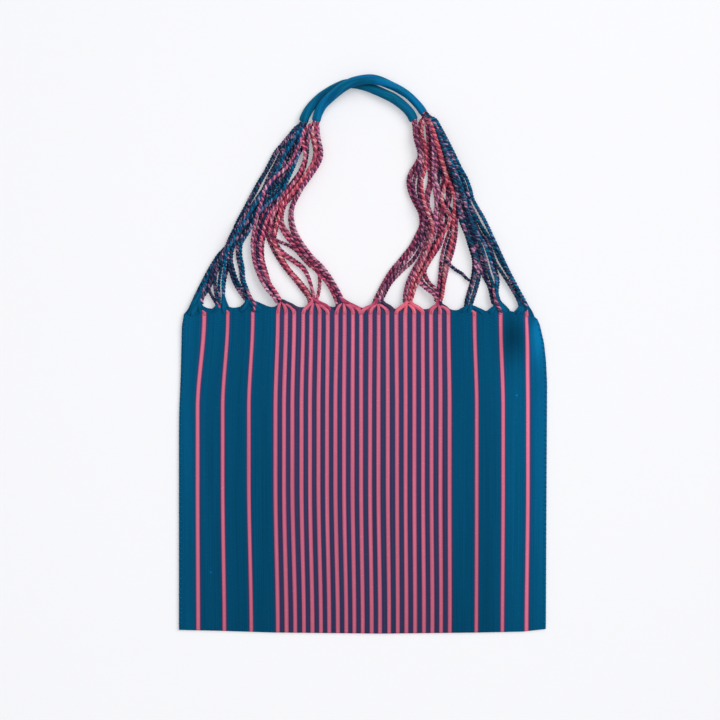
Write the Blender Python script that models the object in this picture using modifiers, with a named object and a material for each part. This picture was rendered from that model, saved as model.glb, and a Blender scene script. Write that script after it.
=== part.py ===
"""Hand-woven tote bag with string-net handles, lying flat on its back.

One warp-striped cloth is folded at the bottom and sewn up both sides. Its warp ends are left long
along the mouth, twisted into strings and drawn together into twelve roots on each face. The
strings of each face run up the left and the right side in a net, and go into the two ends of a
thread-wrapped handle. The front face's handle lies over the back face's one.

X runs across the bag, Y from its bottom fold up to the handles, and Z up from the floor that it
lies on. The origin is on the floor, under the middle of the bounding box. Tables are in
millimetres, and MM turns them into Blender's metres.
"""

import math

import bmesh
import bpy
from mathutils import Vector

MM = 0.001

# Driving dimensions, in millimetres.
CLEAR = 0.3             # gap between two pieces that touch
CLOTH_THICKNESS = 1.5
HALF_WIDTH = 200.5      # half of the sewn bag's width
BOTTOM_Y = -304.0       # lowest point of the bottom fold
SEAM_WIDTH = 1.2        # how far the overcast side stitches stand outside the cloth
SEAM_LIFT = 0.1         # the stitches' height above the floor
HANDLE_DIAMETER = 9.8
STRING_DEPTH = 4.4      # one layer of gathered strings, top to bottom
ROOT_DEPTH = 3.0        # the same where the strings leave the cloth
ROOT_CLEAR = 0.36       # gap between a front root and the back root under it
LIFT_LENGTH = 16.0      # length over which strings settle from the cloth to their layer

# The air between the two layers of cloth.
EDGE_GAP = 0.5          # along the side seams and the bottom fold
MOUTH_EDGE_GAP = 2.6    # at the mouth's two corners
CROWN_GAP = 6.2         # in the middle
MOUTH_SHARE = 0.25      # share of the depth over which the mouth's corners close
CROWN_SIDE_POWER = 2.5
CROWN_DEPTH_POWER = 6
EDGE_HOLD = 20.0        # how soon the seams and the fold hold the rises below down

# Soft rises and dips of the front layer: x, y, height, reach along x, reach along y.
RISES = (
    (180, 14, 3.6, 11, 26),         # the puff beside the mouth's right corner
    (164, 22, -1.2, 7, 24),         # the trough on its inner side
    (-186, 2, 0.9, 12, 70),
    (-146, -90, 0.7, 22, 120),
    (-112, -230, -0.8, 16, 60),
    (60, -70, 0.6, 60, 90),
    (140, -150, 0.7, 20, 110),
)

# Outline of the sewn bag: one (y, x) row for each bend of a side, from the mouth down.
LEFT_SIDE = ((42, -195.0), (31, -197.0), (-23, -198.5), (-62, -200.0), (-90, -HALF_WIDTH),
             (-299, -HALF_WIDTH))
RIGHT_SIDE = ((41, 188.0), (34, 192.0), (12, 197.0), (-8, 199.0), (-32, HALF_WIDTH),
              (-134, 200.2), (-299, 199.8))
# The bottom fold: one (x, y) row for each bend, from left to right.
BOTTOM_SIDE = ((-200, -299.5), (-158, -301.0), (-97, -303.0), (20, BOTTOM_Y), (121, -303.0),
               (175, -302.0), (200, -299.5))

# Roots of the strings on the front rim: name, x, y, and the rim's y in the dip after the root.
ROOTS = (
    ("A", -180, 54, 49),
    ("B", -155, 54, 48),
    ("C", -124, 57, 50),
    ("D", -89, 57, 50),
    ("E", -54, 57, 49),
    ("F", -22, 56, 45),
    ("G", 17, 55, 49),
    ("H", 48, 55, 49),
    ("I", 82, 55, 48),
    ("J", 114, 55, 48),
    ("K", 146, 52, 46),
    ("L", 175, 49, 42),
)
ROOT_HALF_WIDTH = 7.0   # half of the rim's peak at a root
LEFT_CORNER_Y = 43.0    # where the rim meets the side seams
RIGHT_CORNER_Y = 41.5

# Rows of the cloth, as shares of the depth from the mouth to the bottom fold.
BACK_ROWS = (0.0, 0.02, 0.06, 0.13, 0.3, 0.65, 1.0)
FRONT_ROWS = (0.0, 0.02, 0.06, 0.13, 0.23, 0.36, 0.5, 0.64, 0.77, 0.88, 0.96, 1.0)
FOLD_STEPS = 5          # segments of the half-round bottom fold
EDGE_PASSES = 4         # times that a point is settled between the slanting edges

# The two faces: name, middle height of its string layer, rise of its rim over the front one.
FACES = (
    ("back", STRING_DEPTH / 2, 2.5),
    ("front", STRING_DEPTH * 1.5 + CLEAR, 0.0),
)
FRONT_ROOT_Z = ROOT_DEPTH * 1.5 + ROOT_CLEAR    # lowest middle of a front root, over a back one

# Middle lines of the handles, from the left end to the right end: x, y, z.
HANDLES = {
    "back": (
        (-64, 254, 4.9), (-60, 263, 4.9), (-52, 274, 4.9), (-41, 284, 4.9), (-23, 293, 4.9),
        (-11, 295, 4.9), (3, 292, 4.9), (15, 287, 4.9), (26, 281, 4.9), (38, 273, 4.9),
        (48, 264, 4.9), (54, 255, 4.9),
    ),
    "front": (
        (-51, 254, 8.0), (-46, 266, 9.8), (-39, 276, 12.6), (-28, 286, 14.6), (-16, 293, 15.2),
        (-4, 297.4, 15.2), (8, 299.2, 14.4), (18, 297.8, 12.6), (28, 294, 10.6), (38, 289, 9.4),
        (50, 280, 8.6), (60, 269, 8.1), (66, 262, 8.0),
    ),
}

# Where the strings run together below a handle's end: x, y, z, width, depth. The first row is
# at the handle.
GATHERS = {
    ("back", "left"): (
        (-64.0, 254, 4.9, 9.6, 9.6), (-67, 248, 2.8, 13, 5.4), (-70, 241, 2.2, 16, 4.4),
        (-73, 233, 2.2, 18, 4.4),
    ),
    ("front", "left"): (
        (-51.0, 254, 8.0, 9.6, 9.6), (-52.5, 247, 8.4, 12, 7.2), (-54, 240, 8.2, 15, 6.4),
        (-56, 233, 7.6, 18, 5.4),
    ),
    ("back", "right"): (
        (54.0, 255, 4.9, 9.6, 9.6), (56, 249, 2.8, 13, 5.4), (58, 242, 2.2, 16, 4.4),
        (60, 234, 2.2, 18, 4.4),
    ),
    ("front", "right"): (
        (66.0, 262, 8.0, 9.6, 9.6), (69.5, 255, 8.4, 12, 7.2), (72, 248, 8.2, 15, 6.4),
        (74, 240, 7.6, 18, 5.4),
    ),
}

# Strings that reach a handle: root, side, width at the root, then x, y and width up the route.
STRANDS = (
    ("A", "left", 12, ((-175, 79, 9), (-167, 92, 10), (-154, 110, 11), (-142, 131, 16),
                       (-133, 147, 18), (-123, 163, 19), (-113, 179, 19), (-103, 197, 17),
                       (-90, 219, 14), (-80, 230, 10), (-67, 238, 7), (-57, 243, 6))),
    ("D", "left", 7, ((-100, 73, 9), (-108, 87, 11), (-114, 103, 12), (-116, 121, 12),
                      (-112, 138, 13), (-106, 152, 15), (-98, 168, 14), (-88, 184, 14),
                      (-79, 201, 15), (-72, 217, 11), (-65, 227, 7), (-57, 236, 6))),
    ("F", "left", 7, ((-32, 70, 9), (-41, 83, 11), (-51, 96, 12), (-60, 107, 12), (-68, 119, 12),
                      (-76, 132, 12), (-80, 147, 14), (-78, 160, 15), (-72, 172, 16),
                      (-66, 184, 17), (-58, 199, 20), (-53, 211, 20), (-50, 222, 15),
                      (-51, 230, 9), (-53, 237, 6))),
    ("G", "right", 7, ((25, 75, 11), (37, 94, 13), (49, 108, 14), (58, 121, 14), (63, 135, 14),
                       (63, 148, 12), (59, 160, 11), (53, 174, 10), (50, 187, 10), (50, 201, 12),
                       (54, 212, 14), (58, 223, 12), (63, 233, 8), (69, 242, 6))),
    ("I", "right", 7, ((85, 70, 8), (87, 86, 9), (89, 103, 10), (93, 119, 12), (95, 135, 14),
                       (93, 152, 18), (91, 168, 22), (85, 184, 21), (80, 201, 20), (76, 214, 13),
                       (73, 226, 7), (71, 238, 6))),
    ("L", "right", 9, ((166, 70, 9), (155, 92, 10), (147, 108, 12), (137, 124, 16),
                       (128, 141, 18), (119, 160, 18), (111, 178, 18), (103, 195, 16),
                       (94, 212, 14), (88, 225, 10), (83, 237, 7), (77, 247, 6))),
)
# Strings that run into a neighbour: the same, with the root of the strand that they join.
LEGS = (
    ("B", "A", 7, ((-154, 72, 8), (-155, 88, 8), (-160, 104, 7))),
    ("C", "A", 7, ((-131, 72, 10), (-137, 86, 13), (-139, 101, 14), (-140, 116, 13),
                   (-144, 131, 9))),
    ("E", "D", 9, ((-66, 70, 9), (-77, 84, 9), (-87, 98, 9), (-94, 113, 10), (-100, 128, 10),
                   (-108, 145, 8))),
    ("H", "I", 7, ((47, 70, 8), (52, 84, 9), (61, 98, 9), (70, 114, 9), (77, 130, 9),
                   (84, 146, 9), (92, 158, 7))),
    ("J", "I", 8, ((117, 68, 9), (119, 80, 9), (120, 92, 9), (119, 104, 9), (116, 119, 9),
                   (110, 132, 9), (99, 144, 7))),
    ("K", "L", 9, ((140, 66, 10), (136, 82, 10), (133, 97, 10), (131, 112, 9), (131, 126, 8),
                   (133, 138, 7))),
)
RIM_NORMAL = (0.0, 1.0)  # strings leave the rim straight up
CORAL_ROOTS = "DEFGHI"  # roots whose strings are mostly coral; the others are mostly teal
STATION_STEP = 15.0     # distance between a string loft's sections
HANDLE_STEP = 9.0       # the same on a handle
STRING_SIDES = 8
HANDLE_ROUNDING = 4     # bevel resolution of a handle, which makes 12 sides
CURVE_SAMPLES = 12      # points read from a smooth curve between two rows of its table

# The back face's strings drift over to the back handle between these two heights.
DRIFT_START_Y = 215.0
DRIFT_END_Y = 240.0

# Colours of the pieces, linear.
TEAL = (0.004, 0.075, 0.16, 1.0)
BRIGHT_TEAL = (0.006, 0.12, 0.26, 1.0)
CORAL = (0.62, 0.12, 0.2, 1.0)
CLOTH_ROUGHNESS = 0.85
SHARP_ANGLE = math.radians(50)  # edges sharper than this are not shaded smooth


def new_collection(name, parent):
    """A collection under its parent."""
    collection = bpy.data.collections.new(name)
    parent.children.link(collection)
    return collection


def make_material(name, colour):
    """A matt cotton with its own colour."""
    material = bpy.data.materials.new(name)
    material.use_nodes = True
    shader = material.node_tree.nodes["Principled BSDF"]
    shader.inputs["Base Color"].default_value = colour
    shader.inputs["Roughness"].default_value = CLOTH_ROUGHNESS
    shader.inputs["Metallic"].default_value = 0.0
    return material


def read_table(rows, position):
    """Value of a two-column table at a position, with straight lines between its rows."""
    ordered = sorted(rows)
    if position <= ordered[0][0]:
        return ordered[0][1]
    for (low, low_value), (high, high_value) in zip(ordered, ordered[1:]):
        if position <= high:
            share = (position - low) / (high - low)
            return low_value + share * (high_value - low_value)
    return ordered[-1][1]


def smooth_step(share):
    """0 below 0, 1 above 1 and a smooth rise between."""
    share = min(max(share, 0.0), 1.0)
    return share * share * (3.0 - 2.0 * share)


def catmull_rom(before, start, end, after, share):
    """A point of the smooth curve from start to end, column by column."""
    point = []
    for a, b, c, d in zip(before, start, end, after):
        cubic = -a + 3.0 * b - 3.0 * c + d
        square = 2.0 * a - 5.0 * b + 4.0 * c - d
        point.append(0.5 * (2.0 * b + (c - a) * share + square * share ** 2 + cubic * share ** 3))
    return tuple(point)


def smooth_stations(rows, step):
    """Evenly spaced stations on the smooth curve through a table's rows, about a step apart."""
    fine = []
    for index in range(len(rows) - 1):
        before = rows[max(index - 1, 0)]
        after = rows[min(index + 2, len(rows) - 1)]
        for sample in range(CURVE_SAMPLES):
            share = sample / CURVE_SAMPLES
            fine.append(catmull_rom(before, rows[index], rows[index + 1], after, share))
    fine.append(tuple(rows[-1]))
    travelled = [0.0]
    for start, end in zip(fine, fine[1:]):
        travelled.append(travelled[-1] + math.dist(start[:3], end[:3]))
    count = max(round(travelled[-1] / step), 2)
    stations = []
    cursor = 0
    for number in range(count + 1):
        target = travelled[-1] * number / count
        while cursor < len(fine) - 2 and travelled[cursor + 1] < target:
            cursor += 1
        share = (target - travelled[cursor]) / (travelled[cursor + 1] - travelled[cursor])
        station = [a + share * (b - a) for a, b in zip(fine[cursor], fine[cursor + 1])]
        stations.append(tuple(station))
    return stations


def loft(name, stations, sides, collection, material, first_direction=None):
    """One closed solid through flat-bottomed oval sections: x, y, z, width and depth each.

    The sections differ from station to station, so the faces between them are made here.
    """
    bm = bmesh.new()
    corner_scale = 1.0 / math.cos(math.pi / sides)
    rings = []
    for index, (x, y, z, width, depth) in enumerate(stations):
        before = Vector(stations[max(index - 1, 0)][:2])
        after = Vector(stations[min(index + 1, len(stations) - 1)][:2])
        direction = (after - before).normalized()
        if index == 0 and first_direction is not None:
            direction = Vector(first_direction).normalized()
        across = Vector((direction.y, -direction.x))
        ring = []
        for corner in range(sides):
            angle = 2.0 * math.pi * (corner + 0.5) / sides
            reach = 0.5 * width * corner_scale * math.cos(angle)
            height = 0.5 * depth * corner_scale * math.sin(angle)
            place = Vector((x + across.x * reach, y + across.y * reach, z + height))
            ring.append(bm.verts.new(place * MM))
        rings.append(ring)
    for lower, upper in zip(rings, rings[1:]):
        for corner in range(sides):
            following = (corner + 1) % sides
            bm.faces.new((lower[corner], lower[following], upper[following], upper[corner]))
    bm.faces.new(rings[0])
    bm.faces.new(rings[-1])
    bmesh.ops.recalc_face_normals(bm, faces=bm.faces)
    return add_object(name, bm, collection, material)


def add_object(name, bm, collection, material):
    """The finished mesh as an object with its material."""
    mesh = bpy.data.meshes.new(name)
    bm.to_mesh(mesh)
    bm.free()
    mesh.shade_smooth()
    mesh.set_sharp_from_angle(angle=SHARP_ANGLE)
    if material is not None:
        mesh.materials.append(material)
    thing = bpy.data.objects.new(name, mesh)
    collection.objects.link(thing)
    return thing


def cut_with(thing, cutter):
    """Cut an object back from a cutter with a live Boolean modifier."""
    difference = thing.modifiers.new("cut", "BOOLEAN")
    difference.operation = "DIFFERENCE"
    difference.solver = "EXACT"
    difference.object = cutter


def grown(stations):
    """A loft's stations with the clearance added all round, for use as a cutter."""
    wider = [(x, y, z, width + 2 * CLEAR, depth + 2 * CLEAR) for x, y, z, width, depth in stations]
    for end, inner in ((0, 1), (-1, -2)):
        outward = (Vector(wider[end][:2]) - Vector(wider[inner][:2])).normalized() * CLEAR
        x, y, z, width, depth = wider[end]
        wider[end] = (x + outward.x, y + outward.y, z, width, depth)
    return wider


def add_cutter(name, stations, sides, collection):
    """A grown copy of a loft that cuts its neighbours back and is left out of the model."""
    cutter = loft(name, grown(stations), sides, collection, None)
    cutter.hide_render = True
    cutter.display_type = "WIRE"
    return cutter


# The cloth.

def cloth_edges(y):
    """The cloth's left and right edge at a height, inside the side stitches."""
    inset = SEAM_WIDTH + CLEAR
    return read_table(LEFT_SIDE, y) + inset, read_table(RIGHT_SIDE, y) - inset


def rim_columns():
    """The cloth's columns, left to right, as (share of the width, y of the front rim)."""
    left, right = cloth_edges(LEFT_CORNER_Y)
    places = [(left, LEFT_CORNER_Y)]
    dip_before = None
    for name, x, y, dip_after in ROOTS:
        if dip_before is not None:
            places.append((x - ROOT_HALF_WIDTH, dip_before))
        places.append((x, y))
        if name != ROOTS[-1][0]:
            places.append((x + ROOT_HALF_WIDTH, dip_after))
        dip_before = dip_after
    places.append((right, RIGHT_CORNER_Y))
    return [((x - left) / (right - left), y) for x, y in places]


def air_gap(across, depth, x, y):
    """Air between the two layers, at shares of the width and the depth."""
    closing = max(0.0, 1.0 - depth / MOUTH_SHARE) ** 2
    edge = EDGE_GAP + (MOUTH_EDGE_GAP - EDGE_GAP) * closing
    from_middle = abs(2.0 * across - 1.0)
    side_crown = 1.0 - from_middle ** CROWN_SIDE_POWER
    depth_crown = 1.0 - depth ** CROWN_DEPTH_POWER
    rise = 0.0
    for rise_x, rise_y, height, reach_x, reach_y in RISES:
        fall = ((x - rise_x) / reach_x) ** 2 + ((y - rise_y) / reach_y) ** 2
        rise += height * math.exp(-fall)
    held_down = smooth_step(EDGE_HOLD * min(across, 1.0 - across, 1.0 - depth))
    return edge + (CROWN_GAP - edge) * side_crown * depth_crown + rise * held_down


def cloth_row(across, rim_y, depth):
    """x and y of a point of the cloth, at shares of the width and the depth."""
    fold_radius = CLOTH_THICKNESS + EDGE_GAP / 2
    y = rim_y
    for _ in range(EDGE_PASSES):
        left, right = cloth_edges(y)
        x = left + across * (right - left)
        bottom = read_table(BOTTOM_SIDE, x) + fold_radius
        y = rim_y + depth * (bottom - rim_y)
    return x, y


def front_height(across, rim_y, depth):
    """Height of the front layer's outer side."""
    x, y = cloth_row(across, rim_y, depth)
    return 2.0 * CLOTH_THICKNESS + air_gap(across, depth, x, y)


def cloth_point(across, rim_y, row):
    """A point of the cloth's outer side: down the back, round the fold and up the front."""
    back_rise = FACES[0][2] if 0.0 < across < 1.0 else 0.0
    if row < len(BACK_ROWS):
        x, y = cloth_row(across, rim_y + back_rise, BACK_ROWS[row])
        return x, y, 0.0
    row -= len(BACK_ROWS)
    if row < FOLD_STEPS - 1:
        x, y = cloth_row(across, rim_y, 1.0)
        radius = CLOTH_THICKNESS + EDGE_GAP / 2
        angle = math.pi * (row + 1) / FOLD_STEPS - math.pi / 2
        return x, y - radius * math.cos(angle), radius + radius * math.sin(angle)
    row -= FOLD_STEPS - 1
    depth = FRONT_ROWS[len(FRONT_ROWS) - 1 - row]
    x, y = cloth_row(across, rim_y, depth)
    return x, y, front_height(across, rim_y, depth)


def make_cloth(collection, material):
    """The woven cloth: one folded sheet, a grid bent round the bottom fold and thickened."""
    columns = rim_columns()
    row_count = len(BACK_ROWS) + FOLD_STEPS - 1 + len(FRONT_ROWS)
    bm = bmesh.new()
    bmesh.ops.create_grid(bm, x_segments=len(columns) - 1, y_segments=row_count - 1, size=0.5)
    for vert in bm.verts:
        column = round((vert.co.x + 0.5) * (len(columns) - 1))
        row = round((vert.co.y + 0.5) * (row_count - 1))
        across, rim_y = columns[column]
        vert.co = Vector(cloth_point(across, rim_y, row)) * MM
    cloth = add_object("cloth_pouch", bm, collection, material)
    thickness = cloth.modifiers.new("thickness", "SOLIDIFY")
    thickness.thickness = CLOTH_THICKNESS * MM
    thickness.offset = -1.0
    thickness.use_even_offset = True
    return cloth


def make_seam(name, across, rim_y, outward, collection, material):
    """The overcast stitches down one side, as one slim bead beside the two edges."""
    edge = [Vector(cloth_row(across, rim_y, depth)) for depth in FRONT_ROWS]
    rows = []
    for index, depth in enumerate(FRONT_ROWS):
        above = edge[max(index - 1, 0)]
        below = edge[min(index + 1, len(edge) - 1)]
        along = (below - above).normalized()
        away = Vector((-along.y, along.x)) * outward
        middle = edge[index] + away * (CLEAR + SEAM_WIDTH / 2)
        height = front_height(across, rim_y, depth) - SEAM_LIFT
        rows.append((middle.x, middle.y, SEAM_LIFT + height / 2, SEAM_WIDTH, height))
    return loft(name, rows, STRING_SIDES, collection, material)


# The strings and the handles.

def drift(face, side, x, y):
    """A point of a string's route, moved over to the handle of its own face."""
    if face == "front":
        return x, y
    share = smooth_step((y - DRIFT_START_Y) / (DRIFT_END_Y - DRIFT_START_Y))
    back_end = GATHERS[("back", side)][0]
    front_end = GATHERS[("front", side)][0]
    return x + share * (back_end[0] - front_end[0]), y + share * (back_end[1] - front_end[1])


def root_height(root_x):
    """Middle of the front layer's rim at a root."""
    left, right = cloth_edges(LEFT_CORNER_Y)
    across = (root_x - left) / (right - left)
    nearest = min(rim_columns(), key=lambda column: abs(column[0] - across))
    middle = front_height(nearest[0], nearest[1], 0.0) - CLOTH_THICKNESS / 2
    return max(middle, FRONT_ROOT_Z)


def string_stations(face, side, root, root_width, route):
    """Stations of a group of strings, from its root on the rim up its route."""
    face_name, layer_z, rim_rise = face
    root_x, root_y = next((x, y) for name, x, y, _ in ROOTS if name == root)
    root_z = ROOT_DEPTH / 2 if face_name == "back" else root_height(root_x)
    rows = [(root_x, root_y + rim_rise + CLEAR, root_width)]
    for x, y, width in route:
        drifted_x, drifted_y = drift(face_name, side, x, y)
        rows.append((drifted_x, drifted_y, width))
    flat = smooth_stations([(x, y, 0.0, width) for x, y, width in rows], STATION_STEP)
    stations = []
    for x, y, _, width in flat:
        travelled = math.dist((x, y), rows[0][:2])
        share = smooth_step(travelled / LIFT_LENGTH)
        z = root_z + share * (layer_z - root_z)
        depth = ROOT_DEPTH + share * (STRING_DEPTH - ROOT_DEPTH)
        stations.append((x, y, z, width, depth))
    return stations


def make_handle(face_name, collection, material):
    """A thread-wrapped handle: a round tube on the smooth curve through its table."""
    curve = bpy.data.curves.new("handle_" + face_name, "CURVE")
    curve.dimensions = "3D"
    curve.bevel_depth = HANDLE_DIAMETER / 2 * MM
    curve.bevel_resolution = HANDLE_ROUNDING
    curve.use_fill_caps = True
    curve.materials.append(material)
    stations = smooth_stations(HANDLES[face_name], HANDLE_STEP)
    spline = curve.splines.new("POLY")
    spline.points.add(len(stations) - 1)
    for point, (x, y, z) in zip(spline.points, stations):
        point.co = (x * MM, y * MM, z * MM, 1.0)
    collection.objects.link(bpy.data.objects.new(curve.name, curve))


def gather_stations(face_name, side):
    """Stations of the gathered strings below a handle's end, and the way they leave it.

    The handle's end leans with its slope, so the gap grows by what its lower or upper edge
    stands out.
    """
    handle = smooth_stations(HANDLES[face_name], HANDLE_STEP)
    end, inner = (handle[0], handle[1]) if side == "left" else (handle[-1], handle[-2])
    run = Vector(end[:2]) - Vector(inner[:2])
    slope = abs(end[2] - inner[2]) / run.length
    gap = run.normalized() * (CLEAR + HANDLE_DIAMETER / 2 * slope)
    rows = list(GATHERS[(face_name, side)])
    width, depth = rows[0][3:]
    rows[0] = (end[0] + gap.x, end[1] + gap.y, end[2], width, depth)
    return rows, run.normalized()


def make_net(face, collection, cutters, root_materials, gather_material):
    """All the strings of one face: the gathers, the strands that reach them, and the legs."""
    face_name = face[0]
    side_cutters = {}
    for side in ("left", "right"):
        rows, outward = gather_stations(face_name, side)
        name = "gather_" + face_name + "_" + side
        loft(name, rows, STRING_SIDES, collection, gather_material, outward)
        side_cutters[side] = [add_cutter("cut_" + name, rows, STRING_SIDES, cutters)]
    strand_cutters = {}
    for root, side, root_width, route in STRANDS:
        stations = string_stations(face, side, root, root_width, route)
        name = "strings_" + face_name + "_" + root
        strand = loft(name, stations, STRING_SIDES, collection, root_materials[root], RIM_NORMAL)
        for cutter in side_cutters[side]:
            cut_with(strand, cutter)
        cutter = add_cutter("cut_" + name, stations, STRING_SIDES, cutters)
        side_cutters[side].append(cutter)
        strand_cutters[root] = (side, cutter)
    for root, joined, root_width, route in LEGS:
        side, cutter = strand_cutters[joined]
        stations = string_stations(face, side, root, root_width, route)
        name = "strings_" + face_name + "_" + root
        leg = loft(name, stations, STRING_SIDES, collection, root_materials[root], RIM_NORMAL)
        cut_with(leg, cutter)


def main():
    """Build every piece of the bag."""
    for thing in list(bpy.data.objects):
        bpy.data.objects.remove(thing, do_unlink=True)
    scene_collection = bpy.context.scene.collection
    bag = new_collection("string_tote_bag", scene_collection)
    cutters = new_collection("cutters", scene_collection)
    teal = make_material("teal_cotton_cloth", TEAL)
    bright_teal = make_material("teal_cotton_wrap", BRIGHT_TEAL)
    coral = make_material("coral_cotton_string", CORAL)
    root_materials = {row[0]: coral if row[0] in CORAL_ROOTS else teal for row in ROOTS}

    make_cloth(bag, teal)
    make_seam("side_seam_left", 0.0, LEFT_CORNER_Y, -1.0, bag, teal)
    make_seam("side_seam_right", 1.0, RIGHT_CORNER_Y, 1.0, bag, teal)
    for face in FACES:
        make_handle(face[0], bag, bright_teal)
        make_net(face, bag, cutters, root_materials, coral)


main()
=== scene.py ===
"""Looks of a hand-woven tote bag with string-net handles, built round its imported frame.

The bag lies flat on its back. One operator makes each kind of piece: the folded striped cloth,
the loose warp ends that fan into the roots, the plied strings, the wrapped handles, the overcast
side seams and the stage. Tables and lengths are in millimetres, and MM turns them into metres.
"""

import math
from functools import partial

import bpy
import numpy as np
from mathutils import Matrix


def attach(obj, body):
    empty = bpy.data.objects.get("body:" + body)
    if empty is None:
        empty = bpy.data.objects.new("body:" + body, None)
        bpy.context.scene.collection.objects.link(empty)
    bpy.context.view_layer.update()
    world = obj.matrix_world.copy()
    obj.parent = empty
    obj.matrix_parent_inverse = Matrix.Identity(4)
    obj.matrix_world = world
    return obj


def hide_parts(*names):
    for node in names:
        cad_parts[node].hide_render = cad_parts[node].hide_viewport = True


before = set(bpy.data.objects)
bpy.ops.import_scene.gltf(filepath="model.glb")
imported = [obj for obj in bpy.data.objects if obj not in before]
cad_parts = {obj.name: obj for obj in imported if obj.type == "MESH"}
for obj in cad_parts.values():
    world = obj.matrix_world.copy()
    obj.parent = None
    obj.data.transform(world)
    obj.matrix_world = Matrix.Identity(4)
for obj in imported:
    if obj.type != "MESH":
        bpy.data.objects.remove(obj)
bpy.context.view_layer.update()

bl_info = {
    "name": "Woven tote with string handles",
    "version": (1, 0, 0),
    "blender": (4, 5, 0),
    "location": "View3D > Sidebar > Woven tote",
    "description": "Builds the cloth, strings and handles of a hand-woven tote bag",
    "category": "Object",
}

MM = 0.001
BODY = "root"           # the frame's one body
SEED = 11

# Outline of the bag: one (y, x) row for each bend of a side, from the mouth down.
LEFT_SIDE = ((42, -195.6), (31, -197.8), (-23, -199.2), (-62, -200.8), (-90, -201.1), (-299, -201.1))
RIGHT_SIDE = ((41, 188.6), (34, 192.6), (12, 197.8), (-8, 200.0), (-32, 201.2), (-134, 200.6),
              (-299, 199.8))
# The bottom fold: one (x, y) row for each bend, from left to right.
BOTTOM_SIDE = ((-200, -301.6), (-158, -302.5), (-97, -304.4), (20, -305.6), (121, -304.5),
               (175, -303.4), (200, -300.6))
# The outermost warp threads at mid height.
WARP_LEFT = -199.0
WARP_RIGHT = 198.7

# The front rim from left to right, as x and y: it dips between the roots of the strings.
RIM = (
    (-195, 43), (-191, 50), (-187, 55), (-180, 57), (-174.5, 51.8), (-170, 49.8), (-162, 49),
    (-160, 50.5), (-156, 54), (-149, 53), (-146, 51), (-141, 50.2), (-132, 52), (-128, 54.5),
    (-123, 58), (-116.5, 57.6), (-108, 53.6), (-102, 51.2), (-96, 51.2), (-92, 55.5), (-88.5, 58.5),
    (-79, 55.8), (-71, 51.2), (-65, 50.6), (-58.5, 54.3), (-54, 58), (-49, 58.5), (-43, 55.8),
    (-35, 51.2), (-28.5, 51.2), (-25.5, 55), (-20, 59), (-13.5, 55.2), (-7.5, 52.3), (-2, 50.4),
    (3, 50.2), (9.5, 54.3), (14, 57), (22, 56.4), (28.5, 53), (33.5, 49.4), (37, 49),
    (44.5, 54.2), (48, 56), (53, 55.3), (59.5, 51.8), (65, 48.8), (70, 48.6), (75.8, 51),
    (79, 53.5), (88, 53.7), (94, 49.2), (100, 47.4), (105.5, 48.2), (110, 51.4), (114, 53.6),
    (121, 53), (127.5, 50), (132, 47), (137.5, 46.9), (142, 49.1), (147, 52), (155.5, 50.8),
    (161, 46.6), (166, 45.5), (173, 48.2), (179, 49), (183, 45.5), (186.5, 42.8), (190, 37),
)
BACK_RISE = 0.6         # how far the back rim reaches past the front one, along y

CLOTH_THICKNESS = 1.5
TWO_LAYERS = 2 * CLOTH_THICKNESS
# The air between the two layers.
EDGE_GAP = 0.5          # along the seams and at the fold
MOUTH_EDGE_GAP = 2.6    # along the seams at the mouth
CROWN_GAP = 6.2         # in the middle
MOUTH_SHARE = 0.25      # share of the depth over which the gap at the mouth closes
EDGE_HOLD = 20.0        # how soon the seams and the fold hold the rises down
FOLD_RADIUS = CLOTH_THICKNESS + EDGE_GAP / 2
# Soft rises and dips of the front layer: x, y, height, reach along x, reach along y.
RISES = (
    (180, 14, 3.6, 11, 26), (164, 22, -1.2, 7, 24), (-186, 2, 0.9, 12, 70),
    (-146, -90, 0.7, 22, 120), (-112, -230, -0.8, 16, 60), (60, -70, 0.6, 60, 90),
    (140, -150, 0.7, 20, 110), (188, -150, 0.5, 6, 130), (-60, 20, 0.5, 30, 16),
    (20, 26, -0.5, 24, 14), (95, 22, 0.5, 20, 18), (-20, -220, 0.5, 40, 40),
)

# The coral stripes: x at the mouth, at mid height and at the bottom fold.
STRIPES = (
    (-172.9, -180.5, -180.0), (-147.5, -153.1, -151.5), (-120.2, -124.5, -122.1),
    (-92.8, -95.4, -93.1), (-83.9, -86.1, -83.6), (-75.0, -77.0, -73.9), (-65.1, -67.0, -64.6),
    (-56.5, -57.8, -55.2), (-47.2, -48.5, -45.9), (-38.6, -39.2, -37.0), (-28.7, -30.1, -27.4),
    (-20.1, -20.7, -18.2), (-10.9, -11.4, -9.5), (-2.1, -2.1, -0.3), (8.1, 7.7, 9.5),
    (17.2, 16.8, 18.6), (26.7, 27.0, 28.6), (36.2, 37.0, 37.9), (46.0, 46.4, 47.4),
    (55.9, 55.9, 56.9), (65.0, 65.4, 66.6), (74.1, 74.6, 75.9), (83.9, 84.4, 85.3),
    (93.1, 94.3, 94.8), (121.5, 124.0, 123.8), (150.1, 152.9, 152.3), (178.8, 180.0, 178.5),
)
BLOCK_FIRST = 3         # the stripes from here to BLOCK_LAST stand close, on navy
BLOCK_LAST = 23
# A stripe stands at its x of mid height from STRIPE_LOW_Y to STRIPE_MIDDLE_Y. From there it leans
# towards its x at the mouth, which it has at STRIPE_TOP_Y, and at the fold, at STRIPE_FOOT_Y.
STRIPE_TOP_Y = 41.0
STRIPE_MIDDLE_Y = -60.0
STRIPE_LOW_Y = -137.0
STRIPE_FOOT_Y = -300.0
WEAVE_END_Y = 46.3      # above this the warp ends are loose
FOLD_STEPS = 8          # steps of the mesh round the fold

# Where strings go into a handle's end: x and y of its mouth, x and y inside it, and its height.
HANDLE_ENDS = {
    "back_left": (-65.2, 252.5, -63.2, 258.5, 5.4),
    "front_left": (-51.7, 252.5, -49.9, 259.5, 8.0),
    "back_right": (55.8, 253.5, 53.2, 260.0, 5.4),
    "front_right": (67.3, 260.5, 63.8, 266.0, 8.0),
}
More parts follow.
